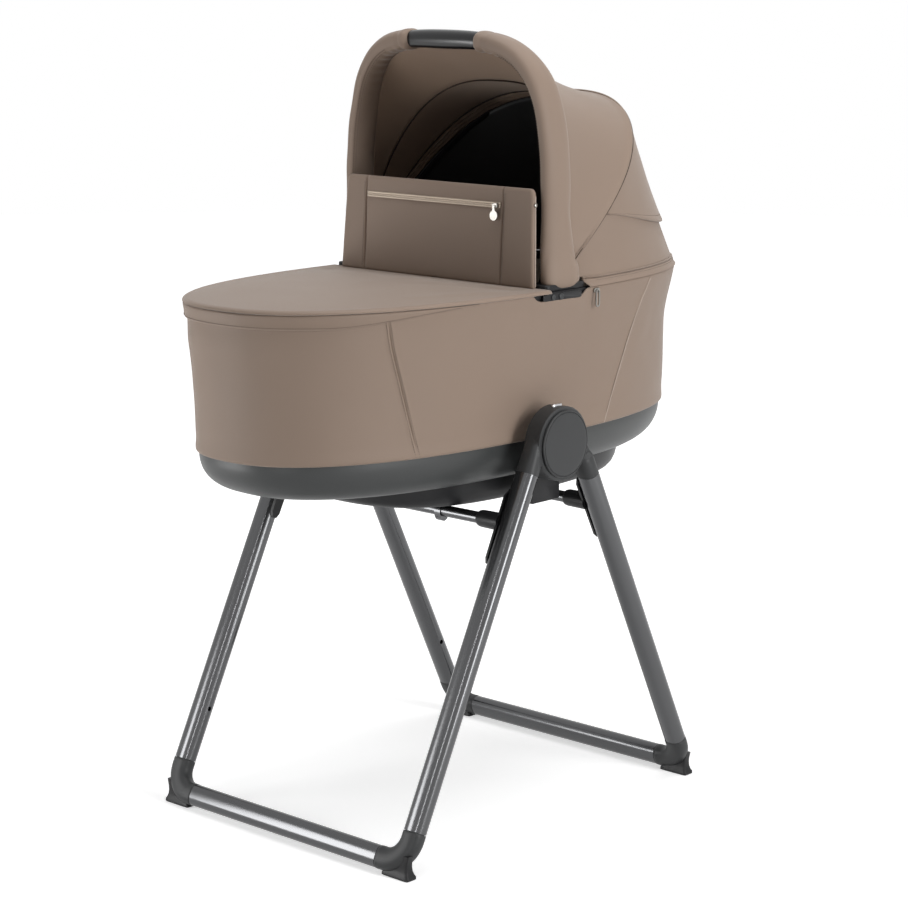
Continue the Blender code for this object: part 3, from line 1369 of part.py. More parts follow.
def make_hood_pivot(side, sign, body):
    # A bracket on the rim with a cheek inside the bows' eyes and a pin through them.
    base_low = RIM_Z + GAP
    base_high = HOOD_Z - EYE_RADIUS - TURN_GAP
    corners = [(PIVOT_INNER, -PIVOT_FRONT, 0.0), (PIVOT_OUTER, -PIVOT_FRONT, 0.0),
               (PIVOT_OUTER, PIVOT_BACK, 0.0), (PIVOT_INNER, PIVOT_BACK, 0.0)]
    outline = rounded_outline(corners, 0.006, 3)

    def plan(p):
        return Vector((sign * p[0], HOOD_Y + p[1], 0.0))
    bracket = prism(
        f"hood_pivot_{side}", outline, plan, Z_AXIS, base_low, base_high,
        body, "black_plastic", edge=0.0012)
    foot = -(HOOD_Z - base_high + 0.002)
    arc = [(EYE_RADIUS * math.cos(math.pi * k / 8), EYE_RADIUS * math.sin(math.pi * k / 8)) for k in range(9)]
    cheek = [(-EYE_RADIUS * 1.4, foot), (EYE_RADIUS * 1.4, foot)] + arc

    def upright(p):
        return Vector((0.0, HOOD_Y + p[0], HOOD_Z + p[1]))
    low = PIVOT_INNER + SLIDE_GAP
    high = PIVOT_INNER + PIVOT_CHEEK
    boolean(bracket, prism(f"join_pivot_cheek_{side}", cheek, upright, X_AXIS * sign, low, high), "UNION")
    centre = Vector((0.0, HOOD_Y, HOOD_Z))
    head = BOW_HALF + EYE_THICK / 2.0 + TURN_GAP
    profile = ((PIVOT_INNER + 0.001, EYE_PIN), (head, EYE_PIN),
               (head, EYE_PIN * 1.7), (head + 0.002, EYE_PIN * 1.5))
    pin = turned(f"join_pivot_pin_{side}", profile, centre, X_AXIS * sign, count=PIN_SIDES)
    boolean(bracket, pin, "UNION")


def cover_side(y, z):
    # Half-width of the cover at a given place along the tub, on the straight facets of its rings.
    ring = [p for p in tub_ring(tub_inset(z), z) if p.x > 0.0]
    for here in ring:
        ahead = [p for p in ring if p.y > here.y]
        if here.y <= y and ahead:
            after = min(ahead, key=lambda p: p.y)
            if y <= after.y:
                share = (y - here.y) / (after.y - here.y)
                return here.x + (after.x - here.x) * share
    return TUB_HALF_WIDTH


def hood_slider_place(sign):
    # The zip's end lies on the rim's side just behind the pivot bracket.
    y = HOOD_Y + HOOD_SLIDER_BACK
    x = cover_side(y - HOOD_SLIDER_LENGTH / 2.0, RIM_Z - RIM_ROUND) + GAP
    return Vector((sign * x, y, RIM_Z - HOOD_SLIDER_DOWN))


def make_hood_slider(side, sign, body):
    place = hood_slider_place(sign)
    half_long, half_wide = HOOD_SLIDER_LENGTH / 2.0, HOOD_SLIDER_WIDTH / 2.0
    corners = [(-half_long, -half_wide * 0.7, 0.0), (half_long, -half_wide, 0.0),
               (half_long, half_wide, 0.0), (-half_long, half_wide * 0.7, 0.0)]
    outline = rounded_outline(corners, 0.002, 3)

    def face(p):
        return Vector((0.0, place.y + p[0], place.z + p[1]))
    low = abs(place.x)
    prism(f"hood_zip_slider_{side}", outline, face, X_AXIS * sign, low, low + HOOD_SLIDER_THICK,
          body, "zip_metal", edge=0.0008)


def hood_puller_pivot(sign):
    place = hood_slider_place(sign)
    return place + Vector((sign * (HOOD_SLIDER_THICK + GAP + LOOP_BAR / 2.0), 0.0, 0.001))


def make_hood_puller(side, sign, body):
    # An open loop that hangs down the side from the slider, with a thin bar on its pivot.
    pivot = hood_puller_pivot(sign)
    half = LOOP_WIDTH / 2.0
    thick = LOOP_BAR / 2.0

    def loop(wide, high, low):
        corners = [(-wide, high, 0.0), (wide, high, 0.0), (wide, low, 0.0), (-wide, low, 0.0)]
        return rounded_outline(corners, wide * 0.9, 4)
    outer = loop(half, LOOP_LIP, -LOOP_LENGTH)
    inner = loop(half - LOOP_WIRE, -LOOP_LIP, LOOP_WIRE - LOOP_LENGTH)
    rings = []
    for outline, depth in ((inner, -thick), (outer, -thick), (outer, thick), (inner, thick)):
        rings.append([pivot + Vector((sign * depth, p[0], p[1])) for p in outline])
    points, faces = loft(rings, cyclic=True)
    mesh_object(f"hood_zip_puller_{side}", points, faces, body, "zip_metal")


def build():
    clear_scene()
    hub = (0.0, HUB_Y, HUB_Z)
    front = joint_empty("stand_front_frame", (0.0, 0.0, 0.0))
    rear = joint_empty("stand_rear_hinge", hub, front)
    for end, frame, body in ((-1.0, "front", front), (1.0, "rear", rear)):
        make_legs(end, frame, body)
        make_bar(end, frame, body)
        make_elbows(end, frame, body)
        make_side_plates(end, frame, body)
        make_cross_tube(end, frame, body)
    make_collar(front)
    for side, sign in SIDES.items():
        make_hub_housing(side, sign, front)
        make_hub_cap(side, sign, front)
        make_hub_pin(side, sign, front)
        make_seat_bracket(side, sign, front)
        make_rear_arm(side, sign, rear)
        tab = joint_empty(f"release_tab_{side}_slide", (sign * LEG_X, HUB_Y, HUB_Z + DRUM_RADIUS), front)
        make_release_tab(side, sign, tab)
    tub = joint_empty("bassinet_lift", hub, front)
    make_hull(tub)
    make_pod(tub)
    make_cover(tub)
    make_wall(tub)
    make_lining(tub)
    make_mattress(tub)
    make_apron(tub)
    make_apron_band(tub)
    for side, sign in SIDES.items():
        make_hood_pivot(side, sign, tub)
        make_hood_slider(side, sign, tub)
        loop = joint_empty(f"hood_puller_{side}_hinge", hood_puller_pivot(sign), tub)
        make_hood_puller(side, sign, loop)
    pivot = (0.0, HOOD_Y, HOOD_Z)
    middle = joint_empty("hood_middle_hinge", pivot, tub)
    bow = joint_empty("hood_front_hinge", pivot, middle)
    make_front_bow(bow)
    make_sleeves(bow)
    make_grip(bow)
    make_front_canopy(bow)
    make_mid_bow(middle)
    make_rear_canopy(middle)
    make_window(middle)
    make_vent_flap(middle)
    shield = joint_empty("windshield_hinge", (0.0, shield_front(0.0), shield_base()), tub)
    make_windshield(shield)
    make_pocket_zip(shield)
    slider = joint_empty("zip_slide", (slider_x(), slider_y(), shield_base() + ZIP_UP), shield)
    make_slider(slider)
    puller = joint_empty("puller_hinge", puller_pivot(), slider)
    make_puller(puller)


build()
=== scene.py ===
"""The looks of a bassinet with a padded hood on a folding tube stand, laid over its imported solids."""

import math

import bmesh
import bpy
import numpy as np
from bpy.props import FloatProperty, FloatVectorProperty, PointerProperty
from bpy.types import Operator, Panel, PropertyGroup
from mathutils import Matrix, Vector, noise


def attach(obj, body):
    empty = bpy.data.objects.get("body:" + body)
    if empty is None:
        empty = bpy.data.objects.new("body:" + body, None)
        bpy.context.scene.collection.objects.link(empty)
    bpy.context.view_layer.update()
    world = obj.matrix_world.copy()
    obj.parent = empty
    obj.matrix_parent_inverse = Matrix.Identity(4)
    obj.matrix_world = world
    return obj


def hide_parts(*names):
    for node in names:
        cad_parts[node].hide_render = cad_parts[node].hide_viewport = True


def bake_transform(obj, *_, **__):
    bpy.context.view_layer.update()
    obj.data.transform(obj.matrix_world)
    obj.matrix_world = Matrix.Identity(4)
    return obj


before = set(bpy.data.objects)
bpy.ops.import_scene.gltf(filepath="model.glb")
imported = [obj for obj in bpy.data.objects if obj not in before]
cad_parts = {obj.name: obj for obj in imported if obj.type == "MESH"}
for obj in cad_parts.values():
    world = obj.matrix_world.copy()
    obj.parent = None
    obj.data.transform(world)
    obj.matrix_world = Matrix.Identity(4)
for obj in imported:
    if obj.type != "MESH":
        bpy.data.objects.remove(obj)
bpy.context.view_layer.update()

bl_info = {
    "name": "Bassinet with Stand",
    "version": (1, 0, 0),
    "blender": (4, 5, 0),
    "location": "View3D > Sidebar > Bassinet",
    "description": "Fabric, hood, trim and finishes of a bassinet on a folding stand",
    "category": "Add Mesh",
}

SIDES = {"left": -1.0, "right": 1.0}
GAP = 0.0003
SWELL_FRAMES = 20
STITCH_LENGTH = 0.0026
STITCH_PITCH = 0.0040
STITCH_RADIUS = 0.00042

# Stand.
LEG_X = 0.247
HUB = np.array((0.0, -0.020, 0.591))
CAP_RADIUS = 0.0505
DRUM_OUT = 0.2625
LEG_LEAN = math.radians(26.076)
FOOT_SPREAD = 0.3255
BAR_Z = 0.021
TUBE_WIDE = 0.034
TUBE_THICK = 0.028
TUBE_POWER = 2.5
BEND_RADIUS = 0.038
ELBOW_REACH = 0.048

# Tub, from its rim down to the hull's flat bottom.
TUB_HALF_LENGTH = 0.467
TUB_HALF_WIDTH = 0.226
TUB_POWER = 2.4
RIM_Z = 0.811
HULL_TOP_Z = 0.591
HULL_BOTTOM_Z = 0.533
WAIST_DRAW = 0.0185
COVER_THICK = 0.005
WALL_THICK = 0.004
LINING_THICK = 0.005
HULL_STEP = 0.0035
HULL_ROUND = 0.070
HULL_ROUND_WIDE = 0.036
TUB_COLUMNS = 180
TUB_MIDDLE = (0.0, 0.0, 0.70)
LATCH_BOSS_X = 0.1954

# Pod under the hull, and mattress in the tub.
POD_HALF_WIDTH = 0.166
POD_HALF_LENGTH = 0.290
POD_Y = 0.030
POD_DEPTH = 0.040
POD_POWER = 3.2
PAD_THICK = 0.034
PAD_CROWN = 0.009
QUILT_LONG = 0.15
QUILT_WIDE = 0.10
QUILT_DEPTH = 0.0035

# Seams of the side cover: where each meets the rim and the hem, along the tub.
FOOT_SEAM = (-0.317, -0.248)
HEAD_SEAM = (0.259, 0.146)

# Apron and windshield.
APRON_BACK = -0.011
APRON_CROWN = 0.009
BAND_TOP = RIM_Z - 0.002
BAND_HEIGHT = 0.021
BAND_SWEEP = math.radians(74.0)
SHIELD_Y = -0.021
SHIELD_BASE = 0.8156
SHIELD_HALF = 0.200
SHIELD_HEIGHT = 0.146
SHIELD_THICK = 0.008
SHIELD_LEAN = 0.008
SHIELD_TAPER = 0.008
SHIELD_CORNER = 0.010
POCKET = (-0.1485, 0.1345)
ZIP_UP = 0.118
ZIP_FROM = -0.146
ZIP_TO = 0.130
SNAP_UP = 0.122

# Hood.
HOOD_Y = 0.027
HOOD_Z = 0.830
BOW_HALF = 0.203
BOW_REACH = 0.344
BOW_POWER = 4.0
BOW_CROWN = 0.020
BOW_CROWN_POWER = 8.0
GRIP_HALF = 0.069
GRIP_RADIUS = 0.0132
MIDDLE_HALF = 0.214
MIDDLE_REACH = 0.371
MIDDLE_POWER = 2.9
MIDDLE_ANGLE = 43.3
FAN_START = 0.032
BASE_START = 0.060
GUSSET_START = 0.122
BASE_Z = 0.8245
BASE_INSET = 0.0065
SLEEVE_FOOT = 0.030
HOOD_COLUMNS = 128
HOOD_AXIS = np.array((0.0, HOOD_Y, HOOD_Z))
LINING_POWER = 2.7

# The two bodies of each turning part of the hood, and the angles between which its fabric bends.
REAR_FAN = ("bassinet", "hood_middle", 4.0, 38.0)
FRONT_FAN = ("hood_middle", "hood_front", 50.0, 84.0)
NOTCH_DEPTH = 0.0115
FLAP_HEM = 0.80
FLAP_START = 0.775
FLAP_HEM_ROW = 25
WINDOW_HIGH = 0.17
WINDOW_LOW = 0.58
WINDOW_HALF = 0.42
LATCH_Y = 0.018
LATCH_Z = RIM_Z - 0.0075
FAN_REACH = 0.33


# Numbers and meshes.

def spow(value, power):
    """A power that keeps the sign of its value."""
    return np.sign(value) * np.abs(value) ** power


def ease(value):
    """A soft step from 0 to 1."""
    value = np.clip(value, 0.0, 1.0)
    return value * value * (3.0 - 2.0 * value)


def bump(value, width):
    """A bell of height 1 about zero."""
    return np.exp(-(value / width) ** 2)


def unit(vectors):
    """Vectors of length 1."""
    return vectors / np.maximum(np.linalg.norm(vectors, axis=-1, keepdims=True), 1e-12)


def circle(count):
    """Angles of places that lie evenly round a circle."""
    return np.linspace(0.0, 2.0 * math.pi, count, endpoint=False)


def oval(angle, half_x, half_y, power):
    """The two coordinates of a rounded outline, squarer for a lower power."""
    return half_x * spow(np.cos(angle), power), half_y * spow(np.sin(angle), power)


def level(x, y, z):
    """Points of one height from their places in plan."""
    return np.stack((x, y, np.full_like(x, z)), axis=-1)


def rounded(share):
    """The height of a quarter circle over shares from 0 to 1, and 1 past it."""
    return np.sqrt(np.clip(1.0 - (1.0 - np.clip(share, 0.0, 1.0)) ** 2, 0.0, 1.0))


def hump(share):
    """A row that rises from 0 to 1 and falls back over shares from 0 to 1."""
    return np.sin(math.pi * np.clip(share, 0.0, 1.0))[None, :]


def path_marks(path):
    """How far along a path each of its points lies."""
    return np.concatenate(([0.0], np.cumsum(np.linalg.norm(np.diff(path, axis=0), axis=1))))


def waves(points, size, seed=0.0):
    """Soft noise from -1 to 1 at each point, with bumps of about the given size."""
    flat = np.asarray(points, float).reshape(-1, 3) / size + seed
    made = np.array([noise.noise(Vector(p)) for p in flat])
    return made.reshape(np.asarray(points).shape[:-1])


def even(place, low, high, count):
    """Values from low to high whose places lie evenly along the curve that place draws."""
    fine = np.linspace(low, high, 3001)
    marks = path_marks(place(fine))
    return np.interp(np.linspace(0.0, marks[-1], count + 1), marks, fine)


def new_piece(name, points, faces, finish, sharp=50.0, centre=None):
    """A mesh object whose faces point out, or away from centre where it is an open sheet."""
    data = bpy.data.meshes.new(name)
    data.from_pydata(np.asarray(points, float).reshape(-1, 3).tolist(), [], faces)
    build = bmesh.new()
    build.from_mesh(data)
    loose = [vert for vert in build.verts if not vert.link_faces]
    bmesh.ops.delete(build, geom=loose, context="VERTS")
    bmesh.ops.recalc_face_normals(build, faces=build.faces)
    if centre is not None:
        middle = Vector(centre)
        out = sum((f.calc_center_median() - middle).dot(f.normal) * f.calc_area() for f in build.faces)
        if out < 0.0:
            bmesh.ops.reverse_faces(build, faces=build.faces)
    build.to_mesh(data)
    build.free()
    data.shade_smooth()
    data.set_sharp_from_angle(angle=math.radians(sharp))
    piece = bpy.data.objects.new(name, data)
    bpy.context.scene.collection.objects.link(piece)
    data.materials.append(finish_of(finish))
    return piece


def sheet_grid(name, points, finish, centre, thick=0.0, keep=None, round_u=False):
    """A sheet from a grid of points, given thickness inward by a Solidify step."""
    across, along = points.shape[:2]
    faces = []
    for i in range(across if round_u else across - 1):
        for j in range(along - 1):
            if keep is None or keep[i, j]:
                k = (i + 1) % across
                faces.append((i * along + j, k * along + j, k * along + j + 1, i * along + j + 1))
    piece = new_piece(name, points, faces, finish, 60.0, centre)
    if thick:
        step = piece.modifiers.new("Cloth thickness", "SOLIDIFY")
        step.thickness = thick
        step.offset = -1.0
        step.use_quality_normals = True
    return piece


def loft(name, rings, finish, closed=False, sharp=50.0):
    """Rings of equal count joined to one skin, capped unless the last ring meets the first."""
    rings = np.asarray(rings, float)
    total, count = rings.shape[:2]
    faces = []
    for k in range(total if closed else total - 1):
        here, there = k * count, ((k + 1) % total) * count
        for i in range(count):
            j = (i + 1) % count
            faces.append((here + i, here + j, there + j, there + i))
    if not closed:
        faces.append(tuple(range(count)))
        faces.append(tuple(range((total - 1) * count, total * count)))
    return new_piece(name, rings, faces, finish, sharp)


def tube(name, path, radius, finish, sides=10):
    """A round tube or thread along a path of points."""
    path = np.asarray(path, float)
    ahead = unit(np.gradient(path, axis=0))
    side = np.cross(ahead[0], (0.0, 0.0, 1.0))
    if np.linalg.norm(side) < 0.1:
        side = np.cross(ahead[0], (1.0, 0.0, 0.0))
    turns = circle(sides)
    rings = []
    for here, line in zip(path, ahead):
        side = unit(side - line * (side @ line))
        other = np.cross(line, side)
        rings.append(here + radius * (np.outer(np.cos(turns), side) + np.outer(np.sin(turns), other)))
    return loft(name, rings, finish)


def turned(name, profile, centre, axis, finish, count):
    """A profile of (distance along axis, radius) pairs turned about the axis."""
    axis = Vector(axis).normalized()
    side = axis.orthogonal().normalized()
    other = axis.cross(side)
    turns = circle(count)
    around = np.outer(np.cos(turns), side) + np.outer(np.sin(turns), other)
    rings = [np.asarray(centre) + np.asarray(axis) * along + around * radius
             for along, radius in profile]
    return loft(name, rings, finish, sharp=35.0)


def stitches(name, rows):
    """Short threads along rows, where a row is a path and the direction that it faces."""
    points, faces = [], []
    turns = circle(6)
    for path, facing in rows:
        marks = path_marks(path)
        for start in np.arange(0.0, marks[-1] - STITCH_LENGTH, STITCH_PITCH):
            at = start + STITCH_LENGTH * np.array((0.0, 0.2, 0.8, 1.0))
            centres = np.stack([np.interp(at, marks, path[:, k]) for k in range(3)], axis=1)
            up = unit(np.array([np.interp(at[1], marks, facing[:, k]) for k in range(3)]))
            along = unit(centres[-1] - centres[0])
            side = unit(np.cross(along, up))
            lift = np.array((-0.6, 0.35, 0.35, -0.6)) * STITCH_RADIUS
            size = np.array((0.5, 1.0, 1.0, 0.5)) * STITCH_RADIUS
            base = len(points)
            for k in range(4):
                middle = centres[k] + up * lift[k]
                for turn in turns:
                    points.append(middle + size[k] * (math.cos(turn) * side + math.sin(turn) * up))
            for k in range(3):
                for i in range(6):
                    j = (i + 1) % 6
                    a, b = base + k * 6, base + (k + 1) * 6
                    faces.append((a + i, a + j, b + j, b + i))
            faces.append(tuple(range(base, base + 6)))
            faces.append(tuple(range(base + 18, base + 24)))
    return new_piece(name, points, faces, "thread")


def swell(piece, pressure, most, pinned=None):
    """Fills a padded piece by a short cloth run, with no point moved further than most."""
    rest = np.array([v.co for v in piece.data.vertices])
    step = piece.modifiers.new("Filling", "CLOTH")
    for setting, value in (("use_pressure", True), ("uniform_pressure_force", pressure), ("quality", 4),
                           ("mass", 0.3), ("tension_stiffness", 40.0), ("compression_stiffness", 40.0),
                           ("bending_stiffness", 2.0)):
        setattr(step.settings, setting, value)
    step.settings.effector_weights.gravity = 0.0
    step.collision_settings.use_collision = False
    if pinned is not None:
        group = piece.vertex_groups.new(name="Sewn")
        group.add([int(k) for k in np.nonzero(pinned)[0]], 1.0, "REPLACE")
        step.settings.vertex_group_mass = "Sewn"
    step.point_cache.frame_start, step.point_cache.frame_end = 1, SWELL_FRAMES
    for number in range(1, SWELL_FRAMES + 1):
        bpy.context.scene.frame_set(number)
    shown = piece.evaluated_get(bpy.context.evaluated_depsgraph_get())
    after = np.array([v.co for v in shown.data.vertices])
    piece.modifiers.remove(step)
    bpy.context.scene.frame_set(1)
    move = after - rest
    far = np.linalg.norm(move, axis=1, keepdims=True)
    move *= np.minimum(1.0, most / np.maximum(far, 1e-9))
    piece.data.vertices.foreach_set("co", (rest + move).ravel())
    piece.data.update()


def place_piece(piece, body, node=None):
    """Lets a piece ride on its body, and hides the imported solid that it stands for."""
    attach(piece, body)
    return name_piece(piece, node)


def name_piece(piece, node=None):
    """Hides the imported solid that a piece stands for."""
    if node:
        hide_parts(node)
    return piece


# Finishes.

def link(tree, start, end):
    tree.links.new(start, end)


def add_node(tree, kind, values=(), **settings):
    """A shader or geometry node with its settings and the fixed values of its sockets."""
    made = tree.nodes.new(kind)
    for name, value in settings.items():
        setattr(made, name, value)
    for socket, value in dict(values).items():
        made.inputs[socket].default_value = value
    return made


def fabric_colours():
    return bpy.context.scene.bassinet_fabric


def stand_finish():
    return bpy.context.scene.bassinet_stand


def paint(name, colour, roughness, metallic=0.0, vary=0.05, size=7.0, grain=0.0, grain_size=900.0,
          weave=0.0, sheen=0.0, coat=0.0, specular=0.5):
    """A shader whose colour and roughness drift a little, with fine grain or a woven surface."""
    made = bpy.data.materials.new(name)
    made.use_nodes = True
    tree = made.node_tree
    shader = tree.nodes["Principled BSDF"]
    for socket, value in (("Metallic", metallic), ("Specular IOR Level", specular),
                          ("Sheen Weight", sheen), ("Sheen Roughness", 0.4),
                          ("Coat Weight", coat), ("Coat Roughness", 0.12)):
        shader.inputs[socket].default_value = value
    place = add_node(tree, "ShaderNodeTexCoord").outputs["Object"]
    broad = add_node(tree, "ShaderNodeTexNoise", {"Scale": size, "Detail": 4.0})
    link(tree, place, broad.inputs["Vector"])
    colour = np.array(colour[:3])
    tint = add_node(tree, "ShaderNodeMix", data_type="RGBA")
    tint.inputs["A"].default_value = (*(colour * (1.0 - vary)), 1.0)
    tint.inputs["B"].default_value = (*np.minimum(colour * (1.0 + vary), 1.0), 1.0)
    link(tree, broad.outputs["Fac"], tint.inputs["Factor"])
    link(tree, tint.outputs["Result"], shader.inputs["Base Color"])
    wear = add_node(tree, "ShaderNodeMapRange",
                    {"To Min": max(roughness - 0.05, 0.02), "To Max": min(roughness + 0.05, 1.0)})
    link(tree, broad.outputs["Fac"], wear.inputs["Value"])
    link(tree, wear.outputs["Result"], shader.inputs["Roughness"])
    height = None
    if grain:
        fine = add_node(tree, "ShaderNodeTexNoise", {"Scale": grain_size, "Detail": 2.0})
        link(tree, place, fine.inputs["Vector"])
        height = fine.outputs["Fac"]
    if weave:
        cross = add_node(tree, "ShaderNodeMath", operation="MAXIMUM")
        for k, turn in enumerate((0.7, -0.7)):
            lay = add_node(tree, "ShaderNodeMapping", {"Rotation": (turn, 0.3, turn)})
            band = add_node(tree, "ShaderNodeTexWave", {"Scale": weave, "Distortion": 0.6})
            link(tree, place, lay.inputs["Vector"])
            link(tree, lay.outputs["Vector"], band.inputs["Vector"])
            link(tree, band.outputs["Fac"], cross.inputs[k])
        height = cross.outputs["Value"]
    if height is not None:
        relief = add_node(tree, "ShaderNodeBump", {"Strength": grain or 0.25, "Distance": 0.0002})
        link(tree, height, relief.inputs["Height"])
        link(tree, relief.outputs["Normal"], shader.inputs["Normal"])
    made.diffuse_color = (*colour, 1.0)
    return made


def finish_recipes():
    """How each finish is painted, from the colours in the settings."""
    fabric, stand = fabric_colours(), stand_finish()
    taupe = np.array(fabric.taupe)
    return {
        "taupe fabric": dict(colour=taupe, roughness=0.62, vary=0.035, size=9.0, weave=420.0,
                             sheen=0.25, specular=0.35),
        # Painted light: the lining is the outer fabric painted lighter, to brighten it in the hood's
        # shade.
        "hood lining": dict(colour=fabric.lining, roughness=0.80, vary=0.05, weave=420.0, sheen=0.1,
                            specular=0.2),
        # Painted highlight: the piping is lighter than the fabric to show the bright line along its
        # ridge.
        "painted highlight piping": dict(colour=fabric.piping, roughness=0.55, vary=0.03, weave=600.0, sheen=0.2),
        # Painted shade: a near-black brown for thin tubes that stand in for the shadow lines along
        # seams.
        "seam shadow": dict(colour=taupe * 0.16, roughness=0.9, vary=0.05, size=20.0, specular=0.1),
        "thread": dict(colour=taupe * 0.55, roughness=0.7, vary=0.08, size=60.0, grain=0.3),
        "cotton": dict(colour=fabric.cotton, roughness=0.9, vary=0.03, weave=300.0, sheen=0.2,
                       specular=0.2),
        "black mesh": dict(colour=(0.012, 0.012, 0.013), roughness=0.55, vary=0.2, size=14.0,
                           weave=260.0, specular=0.3),
        "tube metal": dict(colour=stand.tube, roughness=stand.tube_roughness, metallic=0.92, vary=0.10,
                           size=5.0, grain=0.06, grain_size=1400.0),
        "moulded charcoal": dict(colour=stand.plastic, roughness=0.46, vary=0.06, size=10.0, grain=0.25,
                                 grain_size=1200.0, specular=0.28),
        "hull charcoal": dict(colour=stand.hull, roughness=0.42, vary=0.06, size=6.0, grain=0.30,
                              grain_size=1500.0, specular=0.35),
        "black plastic": dict(colour=(0.011, 0.011, 0.012), roughness=0.40, vary=0.10, size=12.0,
                              grain=0.25, grain_size=1200.0, specular=0.22),
        "gloss grip": dict(colour=(0.006, 0.006, 0.007), roughness=0.26, vary=0.10, size=12.0,
                           grain=0.04, grain_size=700.0, coat=0.1, specular=0.35),
        "bright metal": dict(colour=(0.27, 0.26, 0.24), roughness=0.34, metallic=1.0, vary=0.05,
                             size=200.0, grain=0.05),
        "spring steel": dict(colour=(0.55, 0.55, 0.56), roughness=0.30, metallic=1.0, vary=0.05,
                             size=80.0, grain=0.08),
        "champagne tape": dict(colour=fabric.tape, roughness=0.38, metallic=0.35, vary=0.06, size=60.0,
                               weave=900.0),
        "white floor": dict(colour=(0.86, 0.86, 0.86), roughness=0.9, vary=0.01, size=1.0,
                            specular=0.1),
    }


def finish_of(name):
    """The material of a finish, made when it is first asked for."""
    return bpy.data.materials.get(name) or paint(name, **finish_recipes()[name])


NODE_FINISHES = {
    "tube metal": ("_leg_", "_bar", "cross_tube", "front_bow"),
    "moulded charcoal": ("hub_housing", "hub_cap", "rear_arm"),
    "black plastic": ("elbow", "socket_plate", "collar", "seat_bracket", "hood_pivot", "middle_bow",
                      "side_wall", "rocker_pod"),
    "spring steel": ("hub_pin", "release_tab"),
    "bright metal": ("zip_slider", "zip_puller"),
    "gloss grip": ("carry_grip",),
    "hull charcoal": ("hull",),
}


def even_shading():
    """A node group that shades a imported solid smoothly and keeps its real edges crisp."""
    group = bpy.data.node_groups.get("Even shading")
    if group:
        return group
    group = bpy.data.node_groups.new("Even shading", "GeometryNodeTree")
    for way in ("INPUT", "OUTPUT"):
        group.interface.new_socket("Geometry", in_out=way, socket_type="NodeSocketGeometry")
    start, end = add_node(group, "NodeGroupInput"), add_node(group, "NodeGroupOutput")
    weld = add_node(group, "GeometryNodeMergeByDistance", {"Distance": 0.00001})
    smooth = add_node(group, "GeometryNodeSetShadeSmooth")
    crisp = add_node(group, "GeometryNodeSetShadeSmooth", {"Shade Smooth": False}, domain="EDGE")
    angle = add_node(group, "GeometryNodeInputMeshEdgeAngle")
    test = add_node(group, "FunctionNodeCompare", data_type="FLOAT", operation="GREATER_THAN")
    test.inputs[1].default_value = math.radians(38.0)
    link(group, start.outputs[0], weld.inputs["Geometry"])
    link(group, weld.outputs["Geometry"], smooth.inputs["Geometry"])
    link(group, smooth.outputs["Geometry"], crisp.inputs["Geometry"])
    link(group, angle.outputs["Unsigned Angle"], test.inputs[0])
    link(group, test.outputs["Result"], crisp.inputs["Selection"])
    link(group, crisp.outputs["Geometry"], end.inputs[0])
    return group


def dress_nodes(*names):
    """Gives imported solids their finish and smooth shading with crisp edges."""
    for name in names:
        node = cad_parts[name]
        finish = next(f for f, parts in NODE_FINISHES.items() if any(p in name for p in parts))
        node.data.materials.clear()
        node.data.materials.append(finish_of(finish))
        step = node.modifiers.new("Even shading", "NODES")
        step.node_group = even_shading()


# Tub outline.

def plan(turn, inset, z):
    """Places round the tub, drawn in from its rim, at a height."""
    turn = np.asarray(turn, float)
    x = (TUB_HALF_WIDTH - inset) * spow(np.cos(turn), 2.0 / TUB_POWER)
    y = (TUB_HALF_LENGTH - inset) * spow(np.sin(turn), 2.0 / TUB_POWER)
    return np.stack(np.broadcast_arrays(x, y + end_swell(y, z), z), axis=-1)


def end_swell(y, z):
    """How much fuller the ends are than the sides: all the way down at the foot, low at the head."""
    z = np.asarray(z, float)
    foot = -0.0065 * ease((0.800 - z) / 0.05) * ease(-y / 0.45)
    head = -0.0060 * bump(z - 0.738, 0.040) + 0.0030 * bump(z - 0.640, 0.035)
    return foot + head * ease((y - 0.10) / 0.34)


def plan_normal(points):
    """The level direction that faces out of the tub at each point."""
    x = spow(points[..., 0] / TUB_HALF_WIDTH, TUB_POWER - 1.0) / TUB_HALF_WIDTH
    y = spow(points[..., 1] / TUB_HALF_LENGTH, TUB_POWER - 1.0) / TUB_HALF_LENGTH
    return unit(np.stack((x, y, np.zeros_like(x)), axis=-1))


def tub_inset(z):
    """How far the tub's side draws in at a height."""
    share = np.clip((RIM_Z - np.asarray(z)) / (RIM_Z - HULL_TOP_Z), 0.0, 1.0)
    return WAIST_DRAW * (1.0 - (1.0 - share) ** 2.2)


FULL_TURN = np.linspace(-0.5 * math.pi, 1.5 * math.pi, 6001)
RIM_MARKS = path_marks(plan(FULL_TURN, 0.0, RIM_Z))
RIM_LENGTH = RIM_MARKS[-1]


def turn_at(mark):
    """The turn of a place that is measured along the rim from the middle of the foot end."""
    return np.interp(np.mod(mark, RIM_LENGTH), RIM_MARKS, FULL_TURN)


def ring_turns(count=TUB_COLUMNS):
    """Turns that lie evenly along the rim."""
    return turn_at(np.arange(count) * RIM_LENGTH / count)


def mark_of(y, inset, side):
    """Where a place along the tub lies on the rim's length, on the right or left side."""
    turn = math.copysign(math.asin((abs(y) / (TUB_HALF_LENGTH - inset)) ** (TUB_POWER / 2.0)), y)
    mark = float(np.interp(turn, FULL_TURN, RIM_MARKS))
    return mark if side > 0 else RIM_LENGTH - mark


def seam_marks(seam, side):
    """Where a seam meets the rim and the hem, along the rim's length."""
    return mark_of(seam[0], 0.0, side), mark_of(seam[1], WAIST_DRAW, side)


SEAM_OFFSETS = (0.0006, 0.0012, 0.002, 0.0032, 0.0045, 0.007, 0.011)


